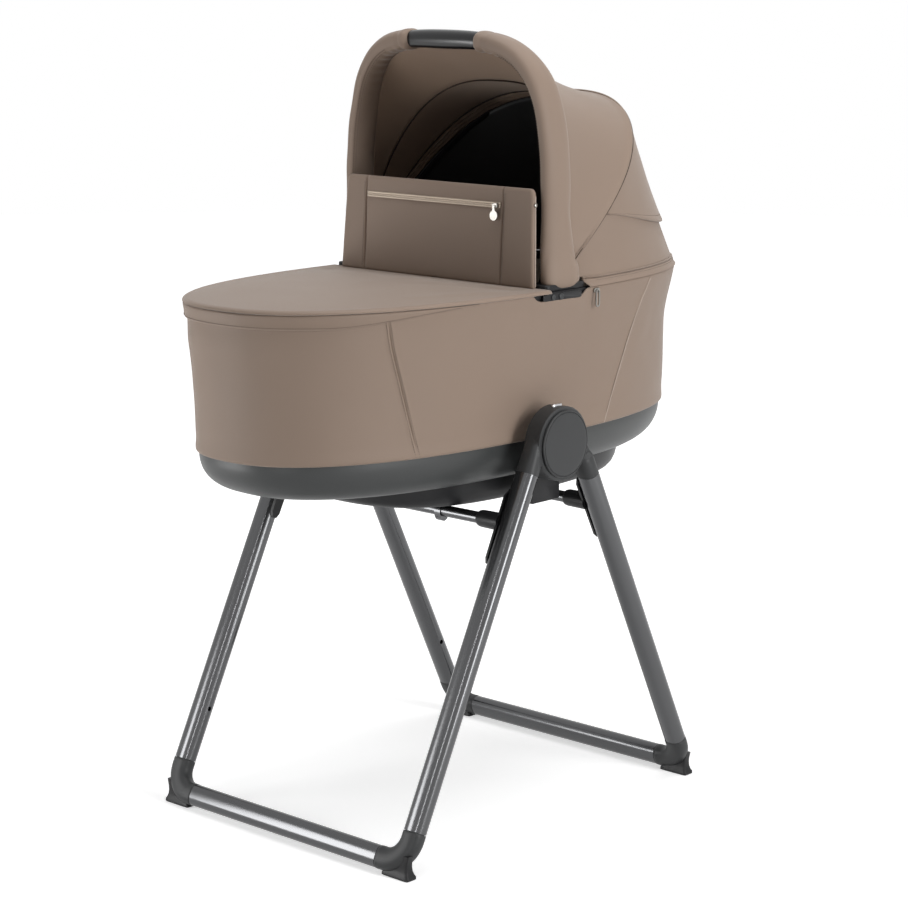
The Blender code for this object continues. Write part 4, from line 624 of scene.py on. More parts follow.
def cover_columns():
    """Each column's place at the rim and at the hem, and how far it lies from its seam."""
    stops = [(0.0, 0.0, None)]
    for seam, side, kind in ((FOOT_SEAM, 1.0, "double"), (HEAD_SEAM, 1.0, "piped"),
                             (HEAD_SEAM, -1.0, "piped"), (FOOT_SEAM, -1.0, "double")):
        stops.append((*seam_marks(seam, side), kind))
    stops.append((RIM_LENGTH, RIM_LENGTH, None))
    columns = []
    for start, end in zip(stops, stops[1:]):
        if start[2]:
            columns.append((start[0], start[1], 0.0, start[2]))
        near = SEAM_OFFSETS if start[2] else ()
        far = SEAM_OFFSETS if end[2] else ()
        columns += [(start[0] + d, start[1] + d, d, start[2]) for d in near]
        first, last = (near[-1] if near else 0.0), (far[-1] if far else 0.0)
        top = (start[0] + first, end[0] - last)
        low = (start[1] + first, end[1] - last)
        count = int((top[1] - top[0]) / 0.0095)
        for k in range(1 if near else 0, count):
            share = k / count
            columns.append((top[0] + (top[1] - top[0]) * share, low[0] + (low[1] - low[0]) * share,
                            1.0, None))
        columns += [(end[0] - d, end[1] - d, d, end[2]) for d in reversed(far)]
    return columns


def cover_place(top, low, z, out):
    """A point on the cover on the line between two rim places, one at the rim and one at the hem."""
    share = np.clip((RIM_Z - z) / (RIM_Z - HULL_TOP_Z), 0.0, 1.0)
    turn = np.interp(top + (low - top) * share, RIM_MARKS, FULL_TURN)
    points = plan(turn, tub_inset(z), z)
    facing = plan_normal(points)
    return points + facing * np.asarray(out)[..., None], facing


def build_cover():
    """The fabric side cover with its double and piped seams, and a notch at the hood's pivots."""
    columns = cover_columns()
    top = np.array([c[0] for c in columns])[:, None]
    low = np.array([c[1] for c in columns])[:, None]
    away = np.array([c[2] for c in columns])[:, None]
    double = np.array([c[3] == "double" for c in columns])[:, None]
    piped = np.array([c[3] == "piped" for c in columns])[:, None]
    hem = HULL_TOP_Z + np.array((0.0003, 0.0006, 0.0014, 0.0028, 0.0050))
    hem_out = np.array((-0.0040, -0.0016, 0.0002, 0.0011, 0.0013))
    body = np.linspace(HULL_TOP_Z + 0.008, RIM_Z - 0.005, 34)
    body_out = 0.0013 * (1.0 - ease((body - HULL_TOP_Z - 0.005) / 0.016))
    rim = RIM_Z + np.array((-0.0025, -0.0010, -0.0002, 0.0001, 0.0))
    rim_out = np.array((0.0, -0.0003, -0.0010, -0.0022, -0.0036))
    z = np.concatenate((hem, body, rim))[None, :]
    out = np.concatenate((hem_out, body_out, rim_out))[None, :]
    groove = double * (-0.0013 * bump(away, 0.0011) + 0.0006 * bump(away - 0.0036, 0.0022))
    groove = groove + piped * (-0.0010 * bump(away, 0.0016) + 0.0004 * bump(away - 0.004, 0.003))
    points, facing = cover_place(top, low, z, out)
    height = fabric_colours().ripple
    middle = ease((z - HULL_TOP_Z - 0.009) / 0.03) * ease((RIM_Z - 0.005 - z) / 0.03)
    drift = height * (0.7 * waves(points * (1.0, 1.0, 0.45), 0.085) + 0.3 * waves(points, 0.03, 7.0))
    points += facing * ((groove + drift) * middle)[..., None]
    notch = ease((points[..., 1] + 0.052) / 0.018) * ease((0.082 - points[..., 1]) / 0.022)
    points[..., 2] -= NOTCH_DEPTH * notch * ease((points[..., 2] - 0.74) / 0.065)
    cover = sheet_grid("fabric_cover", points, "taupe fabric", TUB_MIDDLE, 0.0028, round_u=True)
    place_piece(cover, "bassinet", "side_cover")
    rows, details = [], []
    z = np.linspace(HULL_TOP_Z + 0.0025, RIM_Z - 0.0035, 60)
    for side in SIDES.values():
        a, b = seam_marks(FOOT_SEAM, side)
        for shift in (-0.0036, 0.0036):
            rows.append(cover_place(a + shift, b + shift, z, np.full(60, 0.0009)))
    details.append(stitches("cover_stitches", rows))
    for label, side in SIDES.items():
        a, b = seam_marks(HEAD_SEAM, side)
        line, _ = cover_place(a, b, z, np.full(60, 0.0004))
        details.append(tube(f"cover_piping_{label}", line, 0.0012, "painted highlight piping"))
    for piece in details:
        place_piece(piece, "bassinet")


def build_hull():
    """The hull's shell on the tub's true outline, and its bosses over the seat brackets."""
    shares = np.linspace(0.0, 1.0, 15) ** 0.8
    edge = WAIST_DRAW + HULL_STEP
    turns = ring_turns()

    def hull_ring(share, depth):
        rounding = 1.0 - math.sqrt(max(0.0, 1.0 - share ** 2.3))
        x, y = oval(turns, TUB_HALF_WIDTH - edge - depth - HULL_ROUND_WIDE * rounding,
                    TUB_HALF_LENGTH - edge - depth - HULL_ROUND * rounding, 2.0 / TUB_POWER)
        z = HULL_TOP_Z - (HULL_TOP_Z - HULL_BOTTOM_Z - depth) * share
        return level(x, y + end_swell(y, HULL_TOP_Z), z)

    rings = [hull_ring(s, 0.0) for s in reversed(shares)] + [hull_ring(s, 0.004) for s in shares]
    rings[len(shares) - 1][:, :2] *= 0.998
    hull = loft("hull_shell", rings, "hull charcoal", sharp=40.0)
    place_piece(hull, "bassinet", "hull")
    levels = ((0.0167, -0.002), (0.0158, -0.0008), (0.0140, 0.0), (-0.012, 0.001))
    for label, side in SIDES.items():
        boss = []
        for drop, grow in levels:
            x, y = oval(circle(48), 0.0085 + grow, 0.024 + grow, 0.4)
            boss.append(level(side * LATCH_BOSS_X + x, HUB[1] + y, HULL_BOTTOM_Z - drop))
        place_piece(loft(f"latch_boss_{label}", boss, "hull charcoal"), "bassinet")


def build_pod():
    """The pod under the hull, rounded at its lower edge."""
    levels = ((1.0, 0.034), (0.985, 0.024), (0.94, 0.014), (0.86, 0.008), (0.70, 0.0045), (0.45, 0.002),
              (0.0, 0.0))
    rings = []
    for share, inset in levels:
        x, along = oval(circle(160) + 0.01, POD_HALF_WIDTH - inset, POD_HALF_LENGTH - 2.2 * inset,
                        2.0 / POD_POWER)
        z = HULL_BOTTOM_Z - GAP - share * (POD_DEPTH - 0.007 * (along / POD_HALF_LENGTH) ** 2)
        rings.append(np.stack((x, along + POD_Y, z), axis=-1))
    pod = loft("base_pod", rings, "black plastic", sharp=40.0)
    place_piece(pod, "bassinet", "rocker_pod")


def build_wall():
    """The stiff wall inside the cover, with the bead along its rim."""
    depth = COVER_THICK + GAP
    heights = np.linspace(HULL_TOP_Z + GAP, RIM_Z - 0.013, 12)
    levels = [(float(tub_inset(z)) + depth, z) for z in heights]
    bead = ((0.0, -0.0038), (0.0006, -0.0015), (0.0020, 0.0), (0.0060, 0.0002), (0.0085, -0.0012),
            (0.0095, -0.0045), (0.0090, -0.0095))
    levels += [(depth + inset, RIM_Z + up) for inset, up in bead]
    levels += [(float(tub_inset(z)) + depth + WALL_THICK, z) for z in reversed(heights)]
    rings = [plan(ring_turns(), inset, z) for inset, z in levels]
    wall = loft("rim_wall", rings, "black plastic", closed=True)
    place_piece(wall, "bassinet", "side_wall")


def build_tub_lining():
    """The cotton lining inside the wall, a little slack."""
    depth = COVER_THICK + WALL_THICK + 2.0 * GAP
    heights = np.linspace(HULL_TOP_Z - 0.0095, RIM_Z - 0.0132, 24)
    grid = np.stack([plan(ring_turns(), float(tub_inset(z)) + depth, z) for z in heights], axis=1)
    inward = -plan_normal(grid)
    swell_in = 0.0022 + 0.0012 * waves(grid, 0.06, 3.0)
    grid += inward * swell_in[..., None]
    lining = sheet_grid("tub_lining", grid, "cotton", TUB_MIDDLE, 0.0025, round_u=True)
    place_piece(lining, "bassinet", "inner_lining")


def build_mattress():
    """The quilted mattress, filled by a short cloth run."""
    edge = COVER_THICK + WALL_THICK + LINING_THICK + WAIST_DRAW + 0.008
    low = HULL_BOTTOM_Z + 0.004 + GAP
    angle = ring_turns(132)
    rings = []
    shares = (0.0, 0.04, 0.10, 0.20, 0.30, 0.40, 0.50, 0.60, 0.72, 0.84, 0.94, 0.985, 1.0)
    marks = (0.0, 0.10, 0.30, 0.50, 0.72, 0.94, 1.0)
    wide = np.interp(shares, marks, (0.0200, 0.0060, 0.0010, 0.0, 0.0010, 0.0080, 0.0180))
    long = np.interp(shares, marks, (0.0580, 0.0215, 0.0130, 0.0060, 0.0010, 0.0080, 0.0180))
    for share, across, along in zip(shares, wide, long):
        x, y = oval(angle, TUB_HALF_WIDTH - edge - across, TUB_HALF_LENGTH - edge - along,
                    2.0 / TUB_POWER)
        rings.append(level(x, y, low + share * PAD_THICK))
    border = rings[-1]
    for shrink in np.linspace(0.93, 0.06, 14):
        ring = border * (shrink, shrink, 1.0)
        ring[:, 2] = low + PAD_THICK + PAD_CROWN * (1.0 - shrink ** 2)
        for axis, pitch in ((1, QUILT_LONG), (0, QUILT_WIDE)):
            to_seam = np.abs(np.mod(ring[:, axis] + pitch / 2.0, pitch) - pitch / 2.0)
            ring[:, 2] -= QUILT_DEPTH * bump(to_seam, 0.006)
        rings.append(ring)
    pad = loft("quilted_mattress", rings, "cotton", sharp=60.0)
    swell(pad, 2.0, 0.004)
    place_piece(pad, "bassinet", "mattress")


# Creases of the apron: from, to, depth and width, in plan.
APRON_CREASES = (
    ((0.190, -0.050), (0.060, -0.150), -0.0018, 0.010),
    ((0.150, -0.045), (-0.020, -0.100), 0.0016, 0.012),
    ((0.205, -0.080), (0.150, -0.230), 0.0014, 0.012),
    ((-0.190, -0.060), (-0.120, -0.140), -0.0018, 0.009),
    ((-0.150, -0.045), (-0.050, -0.110), 0.0014, 0.012),
    ((-0.205, -0.100), (-0.150, -0.260), -0.0012, 0.014),
    ((0.020, -0.060), (0.000, -0.200), 0.0008, 0.030))


def creases(points, lines):
    """The height that each crease line adds at a point of the sheet, seen in plan."""
    height = np.zeros(points.shape[:-1])
    for start, end, rise, width in lines:
        start, end = np.array(start), np.array(end)
        line = end - start
        share = np.clip(((points[..., :2] - start) @ line) / (line @ line), 0.0, 1.0)
        off = np.linalg.norm(points[..., :2] - start - share[..., None] * line, axis=-1)
        height += rise * bump(off, width) * (1.0 - 0.75 * share)
    return height


def build_apron():
    """The apron over the foot end, with its creases and a rolled edge."""
    half_long = TUB_HALF_LENGTH
    start = math.asin((-APRON_BACK / half_long) ** (TUB_POWER / 2.0))
    turns = even(lambda t: plan(t, 0.0, 0.0), start, math.pi - start, 150)
    reach = np.concatenate((np.linspace(0.02, 0.955, 34), (0.972, 0.985, 0.994)))
    t, r = np.meshgrid(turns, reach, indexing="ij")
    x = TUB_HALF_WIDTH * spow(np.cos(t), 2.0 / TUB_POWER) * r
    y = APRON_BACK - (half_long * np.sin(t) ** (2.0 / TUB_POWER) + APRON_BACK) * r
    y = np.minimum(y, APRON_BACK)
    crown = APRON_CROWN * (1.0 - r ** 2.4) * ease((SHIELD_Y - y) / 0.10)
    z = RIM_Z + GAP + 0.0040 + crown
    points = np.stack((x, y, z), axis=-1)
    inside = ease((0.965 - r) / 0.18) * ease((SHIELD_Y - 0.004 - y) / 0.02)
    points[..., 2] += inside * (creases(points, APRON_CREASES) + 0.0006 * waves(points, 0.07, 2.0))
    edge = []
    for out, up in ((0.0006, 0.0032), (0.0020, 0.0022), (0.0029, 0.0008), (0.0030, -0.0006),
                    (0.0018, -0.0014)):
        lip = plan(-turns, -out, RIM_Z + up)
        lip[:, 1] = np.minimum(lip[:, 1], APRON_BACK)
        edge.append(lip)
    points = np.concatenate((points, np.stack(edge, axis=1)), axis=1)
    apron = sheet_grid("foot_apron", points, "taupe fabric", (0.0, -0.2, 0.70), 0.0026)
    place_piece(apron, "bassinet", "apron")
    build_apron_band()


def build_apron_band():
    """The band that runs from the apron down over the rim, with its stitches."""
    share = np.linspace(0.0, 1.0, 150)
    turns = -math.pi / 2.0 + BAND_SWEEP * (2.0 * share - 1.0)
    height = BAND_HEIGHT * ease(np.minimum(share, 1.0 - share) * 3.4 + 0.12)
    rows = np.array((0.0, 0.05, 0.15, 0.3, 0.45, 0.6, 0.75, 0.88, 0.95, 0.985, 1.0, 0.99))
    proud = np.array((0.0014, 0.0026, 0.0032, *[0.0034] * 5, 0.0032, 0.0027, 0.0016, 0.0006))
    z = BAND_TOP - height[:, None] * rows[None, :]
    band = plan(turns[:, None], tub_inset(z) - proud[None, :], z)
    band += plan_normal(band) * (0.0004 * waves(band, 0.05, 4.0))[..., None]
    skirt = sheet_grid("rim_skirt", band, "taupe fabric", (0.0, -0.2, 0.80), 0.0)
    place_piece(skirt, "bassinet", "apron_band")
    low = BAND_TOP - height * 0.86
    line = plan(turns, tub_inset(low) - 0.0037, low)
    seam = stitches("skirt_stitches", [(line[4:-4], plan_normal(line)[4:-4])])
    place_piece(seam, "bassinet")


# Windshield.

def shield_front(height):
    """The front face of the windshield at a height above its base."""
    return SHIELD_Y + 0.0005 + SHIELD_LEAN * height / SHIELD_HEIGHT


def shield_columns():
    """Places across and up the windshield, closer at its edges, its pocket seams and its zip."""
    near = np.array((0.0, 0.0006, 0.0018, 0.0035, 0.006, 0.010))
    seam = np.array((0.0007, 0.0015, 0.0026, 0.0042, 0.007))
    x = [-SHIELD_HALF + near, SHIELD_HALF - near]
    for place in POCKET:
        x += [place + seam, place - seam, np.array((place,))]
    fixed = np.sort(np.concatenate(x))
    extra = [v for v in np.linspace(-0.186, 0.186, 76) if np.abs(fixed - v).min() > 0.0025]
    x = np.sort(np.concatenate((fixed, extra)))
    at_zip = ZIP_UP + np.array((-0.006, -0.004, -0.002, 0.0, 0.002, 0.004, 0.006))
    h = np.unique(np.concatenate((near, SHIELD_HEIGHT - near, np.linspace(0.014, 0.132, 30), at_zip)))
    return x, h


def build_windshield():
    """The padded windshield, filled by a short cloth run that its seams hold down."""
    gx, gh = np.meshgrid(*shield_columns(), indexing="ij")
    top = np.clip((gh - (SHIELD_HEIGHT - SHIELD_CORNER)) / SHIELD_CORNER, 0.0, 1.0)
    half = SHIELD_HALF - SHIELD_TAPER * gh / SHIELD_HEIGHT
    half -= SHIELD_CORNER * (1.0 - np.sqrt(1.0 - 0.96 * top ** 2))
    px = gx + np.sign(gx) * (half - SHIELD_HALF) * ease((np.abs(gx) - 0.150) / 0.05)
    edge = np.minimum(np.minimum(half - np.abs(px), SHIELD_HEIGHT - gh), gh + 0.002)
    round_off = rounded(edge / 0.0055)
    thick = SHIELD_THICK / 2.0 * (0.06 + 0.94 * round_off)
    between = np.ones_like(px)
    for low, high in ((-SHIELD_HALF, POCKET[0]), POCKET, (POCKET[1], SHIELD_HALF)):
        inside = (px > low) & (px < high)
        u = np.clip((px - low) / (high - low), 0.0, 1.0)
        between = np.where(inside, (4.0 * u * (1.0 - u)) ** 0.35, between)
    v = gh / SHIELD_HEIGHT
    puff = between * (4.0 * v * (1.0 - v)) ** 0.4
    in_pocket = (px > ZIP_FROM - 0.004) & (px < ZIP_TO + 0.004)
    puff *= 1.0 - 0.9 * in_pocket * bump(gh - ZIP_UP, 0.009)
    front = thick + 0.0020 * puff
    for place in POCKET:
        front -= 0.0022 * bump(px - place, 0.0013) * round_off
        front += 0.0005 * bump(np.abs(px - place) - 0.004, 0.002)
    drape = waves(np.stack((px * 1.4, gh * 0.0, gh), axis=-1), 0.07, 5.0)
    front += 0.0010 * drape * ease(edge / 0.02)
    back = thick + 0.0012 * (4.0 * v * (1.0 - v)) ** 0.4
    middle = shield_front(gh) + SHIELD_THICK / 2.0
    across, along = px.shape
    layers = [np.stack((px, middle + way, SHIELD_BASE + gh), axis=-1) for way in (-front, back)]
    faces, total = [], across * along
    for i in range(across - 1):
        for j in range(along - 1):
            a, b = i * along + j, (i + 1) * along + j
            faces.append((a, b, b + 1, a + 1))
            faces.append((total + a, total + a + 1, total + b + 1, total + b))
    border = [(i, 0) for i in range(across)] + [(across - 1, j) for j in range(1, along)]
    border += [(i, along - 1) for i in range(across - 2, -1, -1)]
    border += [(0, j) for j in range(along - 2, 0, -1)]
    for here, there in zip(border, border[1:] + border[:1]):
        a, b = here[0] * along + here[1], there[0] * along + there[1]
        faces.append((a, b, total + b, total + a))
    panel = new_piece("padded_windshield", np.concatenate([l.reshape(-1, 3) for l in layers]), faces,
                      "taupe fabric", 70.0)
    fixed = np.concatenate([(edge < 0.004).ravel()] * 2)
    sewn = (np.minimum(np.abs(px - POCKET[0]), np.abs(px - POCKET[1])) < 0.003) | (
        in_pocket & (np.abs(gh - ZIP_UP) < 0.007))
    fixed[:total] |= sewn.ravel()
    swell(panel, 3.0, 0.0022, fixed)
    place_piece(panel, "windshield_panel", "windshield")
    build_windshield_trim()


def build_windshield_trim():
    """The stitches beside the pocket's seams, the piping at the sides and the snap."""
    rows = []
    z = np.linspace(0.006, SHIELD_HEIGHT - 0.006, 40)
    for place, shift in ((POCKET[0], -0.004), (POCKET[1], 0.004)):
        line = np.stack((np.full_like(z, place + shift), shield_front(z) - 0.0018, SHIELD_BASE + z),
                        axis=-1)
        rows.append((line, np.tile((0.0, -1.0, 0.0), (len(z), 1))))
    seam = stitches("windshield_stitches", rows)
    place_piece(seam, "windshield_panel")
    v = np.linspace(0.0, 1.0, 40)
    h = v * (SHIELD_HEIGHT - 0.014) + 0.003
    x = SHIELD_HALF - SHIELD_TAPER * h / SHIELD_HEIGHT + 0.0002
    for label, side in SIDES.items():
        line = np.stack((side * x, shield_front(h) + SHIELD_THICK / 2.0, SHIELD_BASE + h), axis=-1)
        piping = tube(f"windshield_piping_{label}", line, 0.0013, "painted highlight piping")
        place_piece(piping, "windshield_panel")
    profile = ((-0.0006, 0.0026), (0.0004, 0.0032), (0.0014, 0.0030), (0.0020, 0.0018))
    place = (SHIELD_HALF - 0.0055, shield_front(SNAP_UP) + SHIELD_THICK / 2.0, SHIELD_BASE + SNAP_UP)
    stud = turned("windshield_snap", profile, place, (1.0, 0.0, 0.0), "bright metal", 24)
    place_piece(stud, "windshield_panel")


def zip_front():
    """The face that the pocket's zip lies on."""
    return shield_front(ZIP_UP) - GAP


def build_zip():
    """The pocket's zip tape and teeth, and the finish of the sliders and pullers."""
    x = np.linspace(ZIP_FROM, ZIP_TO, 90)
    up = np.array((-0.0045, -0.0043, -0.0036, -0.0016, -0.0012, 0.0012, 0.0016, 0.0036, 0.0043, 0.0045))
    out = np.array((0.0, 0.0009, 0.0013, 0.0013, 0.0007, 0.0007, 0.0013, 0.0013, 0.0009, 0.0))
    lean = SHIELD_LEAN / SHIELD_HEIGHT
    grid = np.empty((len(x), len(up), 3))
    grid[..., 0] = x[:, None]
    grid[..., 1] = zip_front() + up * lean - out - 0.0008
    grid[..., 2] = SHIELD_BASE + ZIP_UP + up
    tape = sheet_grid("pocket_tape", grid, "champagne tape", (0.0, 0.5, 0.93), 0.0008)
    points, faces = [], []
    for k, place in enumerate(np.arange(ZIP_FROM + 0.002, ZIP_TO - 0.001, 0.0016)):
        lift = 0.0004 if k % 2 else -0.0004
        for dx in (-0.0006, 0.0006):
            for dy, dz in ((0.0, -0.0014), (0.0, 0.0014), (-0.0016, 0.0009), (-0.0016, -0.0009)):
                points.append((place + dx, zip_front() - 0.0008 + dy, SHIELD_BASE + ZIP_UP + dz + lift))
        b = 8 * k
        faces += [(b, b + 1, b + 2, b + 3), (b + 7, b + 6, b + 5, b + 4)]
        faces += [(b + i, b + (i + 1) % 4, b + 4 + (i + 1) % 4, b + 4 + i) for i in range(4)]
    teeth = new_piece("pocket_teeth", points, faces, "champagne tape", 20.0)
    for piece in (tape, teeth):
        place_piece(piece, "windshield_panel")
    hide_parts("pocket_zip")
    dress_nodes("zip_slider", "zip_puller", "hood_zip_slider_left", "hood_zip_slider_right",
                "hood_zip_puller_left", "hood_zip_puller_right")


# Hood.

def fan(angle):
    """The direction that leans at an angle from level, in the hood's side view."""
    angle = np.radians(angle)
    return np.stack(np.broadcast_arrays(0.0, np.cos(angle), np.sin(angle)), axis=-1)


def arch(turn, half, reach, power, angle):
    """Points of an arch over the hood's axis, leaning at an angle from level."""
    turn = np.asarray(turn, float)
    out = np.asarray(reach * np.abs(np.sin(turn)) ** (2.0 / power))
    points = fan(angle) * out[..., None]
    points[..., 0] = half * spow(np.cos(turn), 2.0 / power)
    return points + HOOD_AXIS


def bow_height(turn):
    """How high the front bow stands over the hood's axis."""
    return BOW_REACH * np.abs(np.sin(turn)) ** (2.0 / BOW_POWER)


def bow_point(turn):
    """Places along the front bow."""
    points = arch(turn, BOW_HALF, BOW_REACH, BOW_POWER, 90.0)
    points[..., 1] -= BOW_CROWN * (bow_height(turn) / BOW_REACH) ** BOW_CROWN_POWER
    return points


def bow_frame(turn):
    """Places along the front bow, the way to the back and the way inward."""
    tangent = unit(bow_point(turn + 0.004) - bow_point(turn - 0.004))
    back = np.array((0.0, 1.0, 0.0))
    return bow_point(turn), back, unit(np.cross(tangent, back))


def sleeve_size(turn):
    """The sleeve's width, its thickness and how far it sits behind the bow."""
    share = ease(np.sin(turn) ** 3.0)
    flare = 0.026 * np.maximum(0.0, 1.0 - bow_height(turn) / 0.11) ** 2.0
    return 0.056 - 0.013 * share + flare, 0.025 + 0.005 * share, flare * 0.35


def turn_at_reach(out, reach, power):
    """The turn at which an arch has come this far out."""
    return math.asin(min(1.0, out / reach) ** (power / 2.0))


def fan_turns(half, reach, power):
    """Turns that lie evenly along an arch, from just over the pivots."""
    low = turn_at_reach(FAN_START, reach, power)
    return even(lambda t: arch(t, half, reach, power, 90.0), low, math.pi - low, HOOD_COLUMNS)


def middle_line():
    """The crossing seam over the middle bow."""
    turn = fan_turns(MIDDLE_HALF, MIDDLE_REACH, MIDDLE_POWER)
    angle = MIDDLE_ANGLE - 5.0 * (1.0 - np.sin(turn) ** 2.0)
    return arch(turn, MIDDLE_HALF, MIDDLE_REACH, MIDDLE_POWER, angle)


def base_line(inset=0.0):
    """The hood's lower edge, just above the rim."""
    half, reach = TUB_HALF_WIDTH - BASE_INSET, TUB_HALF_LENGTH - BASE_INSET
    low = turn_at_reach(BASE_START, reach, TUB_POWER)
    turn = even(lambda t: arch(t, half, reach, TUB_POWER, 90.0), low, math.pi - low, HOOD_COLUMNS)
    tuck = inset + 0.013 * base_tuck(turn, reach)
    x = (half - tuck) * spow(np.cos(turn), 2.0 / TUB_POWER)
    y = (reach - inset) * np.abs(np.sin(turn)) ** (2.0 / TUB_POWER)
    return level(x, y, BASE_Z)


def base_tuck(turn, reach):
    """How far the base's front corners draw in behind the sleeves, from 1 at the corner to 0."""
    return 1.0 - ease((reach * np.abs(np.sin(turn)) ** (2.0 / TUB_POWER) - BASE_START) / 0.055)


def bow_line(inset, behind):
    """The canopy's front edge behind the sleeves."""
    turn = fan_turns(BOW_HALF, BOW_REACH, BOW_POWER)
    here, back, inward = bow_frame(turn)
    wide, _, shift = sleeve_size(turn)
    return here + back * (wide / 2.0 + shift + behind)[:, None] + inward * np.asarray(inset)[..., None]


def hood_spread():
    """How far each column of the hood lies from its crown, from 0 to 1."""
    return np.abs(np.linspace(-1.0, 1.0, HOOD_COLUMNS + 1))


def outward_of(points):
    """The way out from the middle of the hood."""
    return unit(points - HOOD_AXIS)


def skin_between(high, low, shares, sag):
    """A sheet between two lines, sagging inward between them."""
    shares = np.asarray(shares)[None, :, None]
    points = high[:, None, :] * (1.0 - shares) + low[:, None, :] * shares
    hang = np.asarray(sag)[:, None] * np.sin(math.pi * shares[..., 0])
    return points - outward_of(high)[:, None, :] * hang[..., None]


def hood_point(angle, reach):
    """A place in the hood's middle plane."""
    return tuple(HOOD_AXIS + fan(angle) * reach)


def blend_fan(piece, lower, upper, low_angle, high_angle):
    """Bakes the place of a hood panel, which lies between two bodies that turn about the hood's axis,
    into its mesh.
    """
    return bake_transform(piece, lower, upper, start=hood_point(low_angle, FAN_REACH),
                    end=hood_point(high_angle, FAN_REACH))


def build_canopy():
    """The canopy's front and rear panels, with the mesh window, a dark tube of painted shadow on the
    crossing seam, flap and trim.
    """
    spread = hood_spread()
    crown = 1.0 - spread ** 2.0
    shares = np.concatenate(((0.0, 0.004, 0.010, 0.020), np.linspace(0.035, 0.96, 38),
                             (0.98, 1.0, 1.03)))
    tuck = 0.0010 + 0.0075 * ease(1.0 - spread * 1.25)
    front = bow_line(tuck, -0.0040)
    points = skin_between(middle_line(), front, shares, 0.013 * crown)
    out = outward_of(points)
    rise = 0.0030 * bump(shares - 0.016, 0.022) - 0.0016 * bump(shares, 0.006)
    rise = rise[None, :] + 0.0010 * waves(points * (1.0, 0.6, 0.6), 0.075, 1.0) * hump(shares)
    points += out * rise[..., None]
    panel = sheet_grid("canopy_front_panel", points, "taupe fabric", HOOD_AXIS, 0.0026)
    blend_fan(panel, *FRONT_FAN)
    name_piece(panel, "canopy_front")

    shares = np.concatenate(((-0.02, 0.0), np.linspace(0.02, 0.97, 40), (0.985, 1.0)))
    points = skin_between(middle_line(), base_line(), shares, np.full(HOOD_COLUMNS + 1, 0.003))
    middle = (shares[1:] + shares[:-1])[None, :] / 2.0
    window = (middle > WINDOW_HIGH) & (middle < WINDOW_LOW) & (spread[:-1, None] < WINDOW_HALF)
    out = outward_of(points)
    soft = 0.0009 * waves(points * (1.0, 0.7, 0.7), 0.06, 8.0) * hump(shares)
    from_base = np.clip(1.0 - shares, 0.0, 1.0)[None, :]
    tension = 0.0006 * np.sin(spread * 46.0)[:, None] * np.exp(-from_base * 9.0)
    points += out * (soft + tension * np.clip(from_base * 8.0, 0.0, 1.0))[..., None]
    panel = sheet_grid("canopy_rear_panel", points, "taupe fabric", HOOD_AXIS, 0.0026, ~window)
    blend_fan(panel, *REAR_FAN)
    name_piece(panel, "canopy_rear")
    line = middle_line()
    # A dark tube along the crossing seam paints the seam's shadow line.
    painted_seam_shadow = tube("crossing_seam_painted_shadow", line + outward_of(line) * 0.0006, 0.0012, "seam shadow", 8)
    place_piece(painted_seam_shadow, "hood_middle")
    build_flap(spread)
    build_hood_trim()


def build_flap(spread):
    """The vent flap that hangs over the window, with its thick rolled hem."""
    inside = np.nonzero(spread < FLAP_START + 0.001)[0]
    rows = np.concatenate((np.linspace(0.0, 0.93, FLAP_HEM_ROW + 1),
                           (0.95, 0.97, 0.985, 0.996, 1.0, 0.994, 0.975, 0.95)))
    hem = FLAP_HEM * (0.02 + 0.98 * (1.0 - np.clip(spread / FLAP_START, 0.0, 1.0) ** 3.2))
    shares = 0.0015 + (hem[:, None] - 0.0015) * rows[None, :]
    high, low = middle_line()[:, None, :], base_line()[:, None, :]
    points = high * (1.0 - shares[..., None]) + low * shares[..., None]
    out = outward_of(middle_line())[:, None, :]
    lift = 0.0010 + 0.0056 * (hem / FLAP_HEM)[:, None] * np.clip(rows, 0.0, 1.0)[None, :] ** 1.4
    roll = np.zeros(len(rows))
    roll[FLAP_HEM_ROW + 1:] = (0.0008, 0.0010, 0.0009, 0.0004, -0.0012, -0.0030, -0.0044, -0.0052)
    size = np.clip(hem / FLAP_HEM * 1.5, 0.15, 1.0)[:, None]
    lift = lift + roll[None, :] * size - 0.003 * np.sin(math.pi * shares)
    lift += 0.0007 * waves(points, 0.05, 6.0) * hump(rows)
    points = (points + out * lift[..., None])[inside]
    flap = sheet_grid("vent_cover_flap", points, "taupe fabric", HOOD_AXIS, 0.0022)
    blend_fan(flap, *REAR_FAN)
    name_piece(flap, "vent_flap")
    row = points[:, FLAP_HEM_ROW]
    seam = stitches("flap_stitches", [(row, outward_of(row))])
    name_piece(blend_fan(seam, *REAR_FAN))


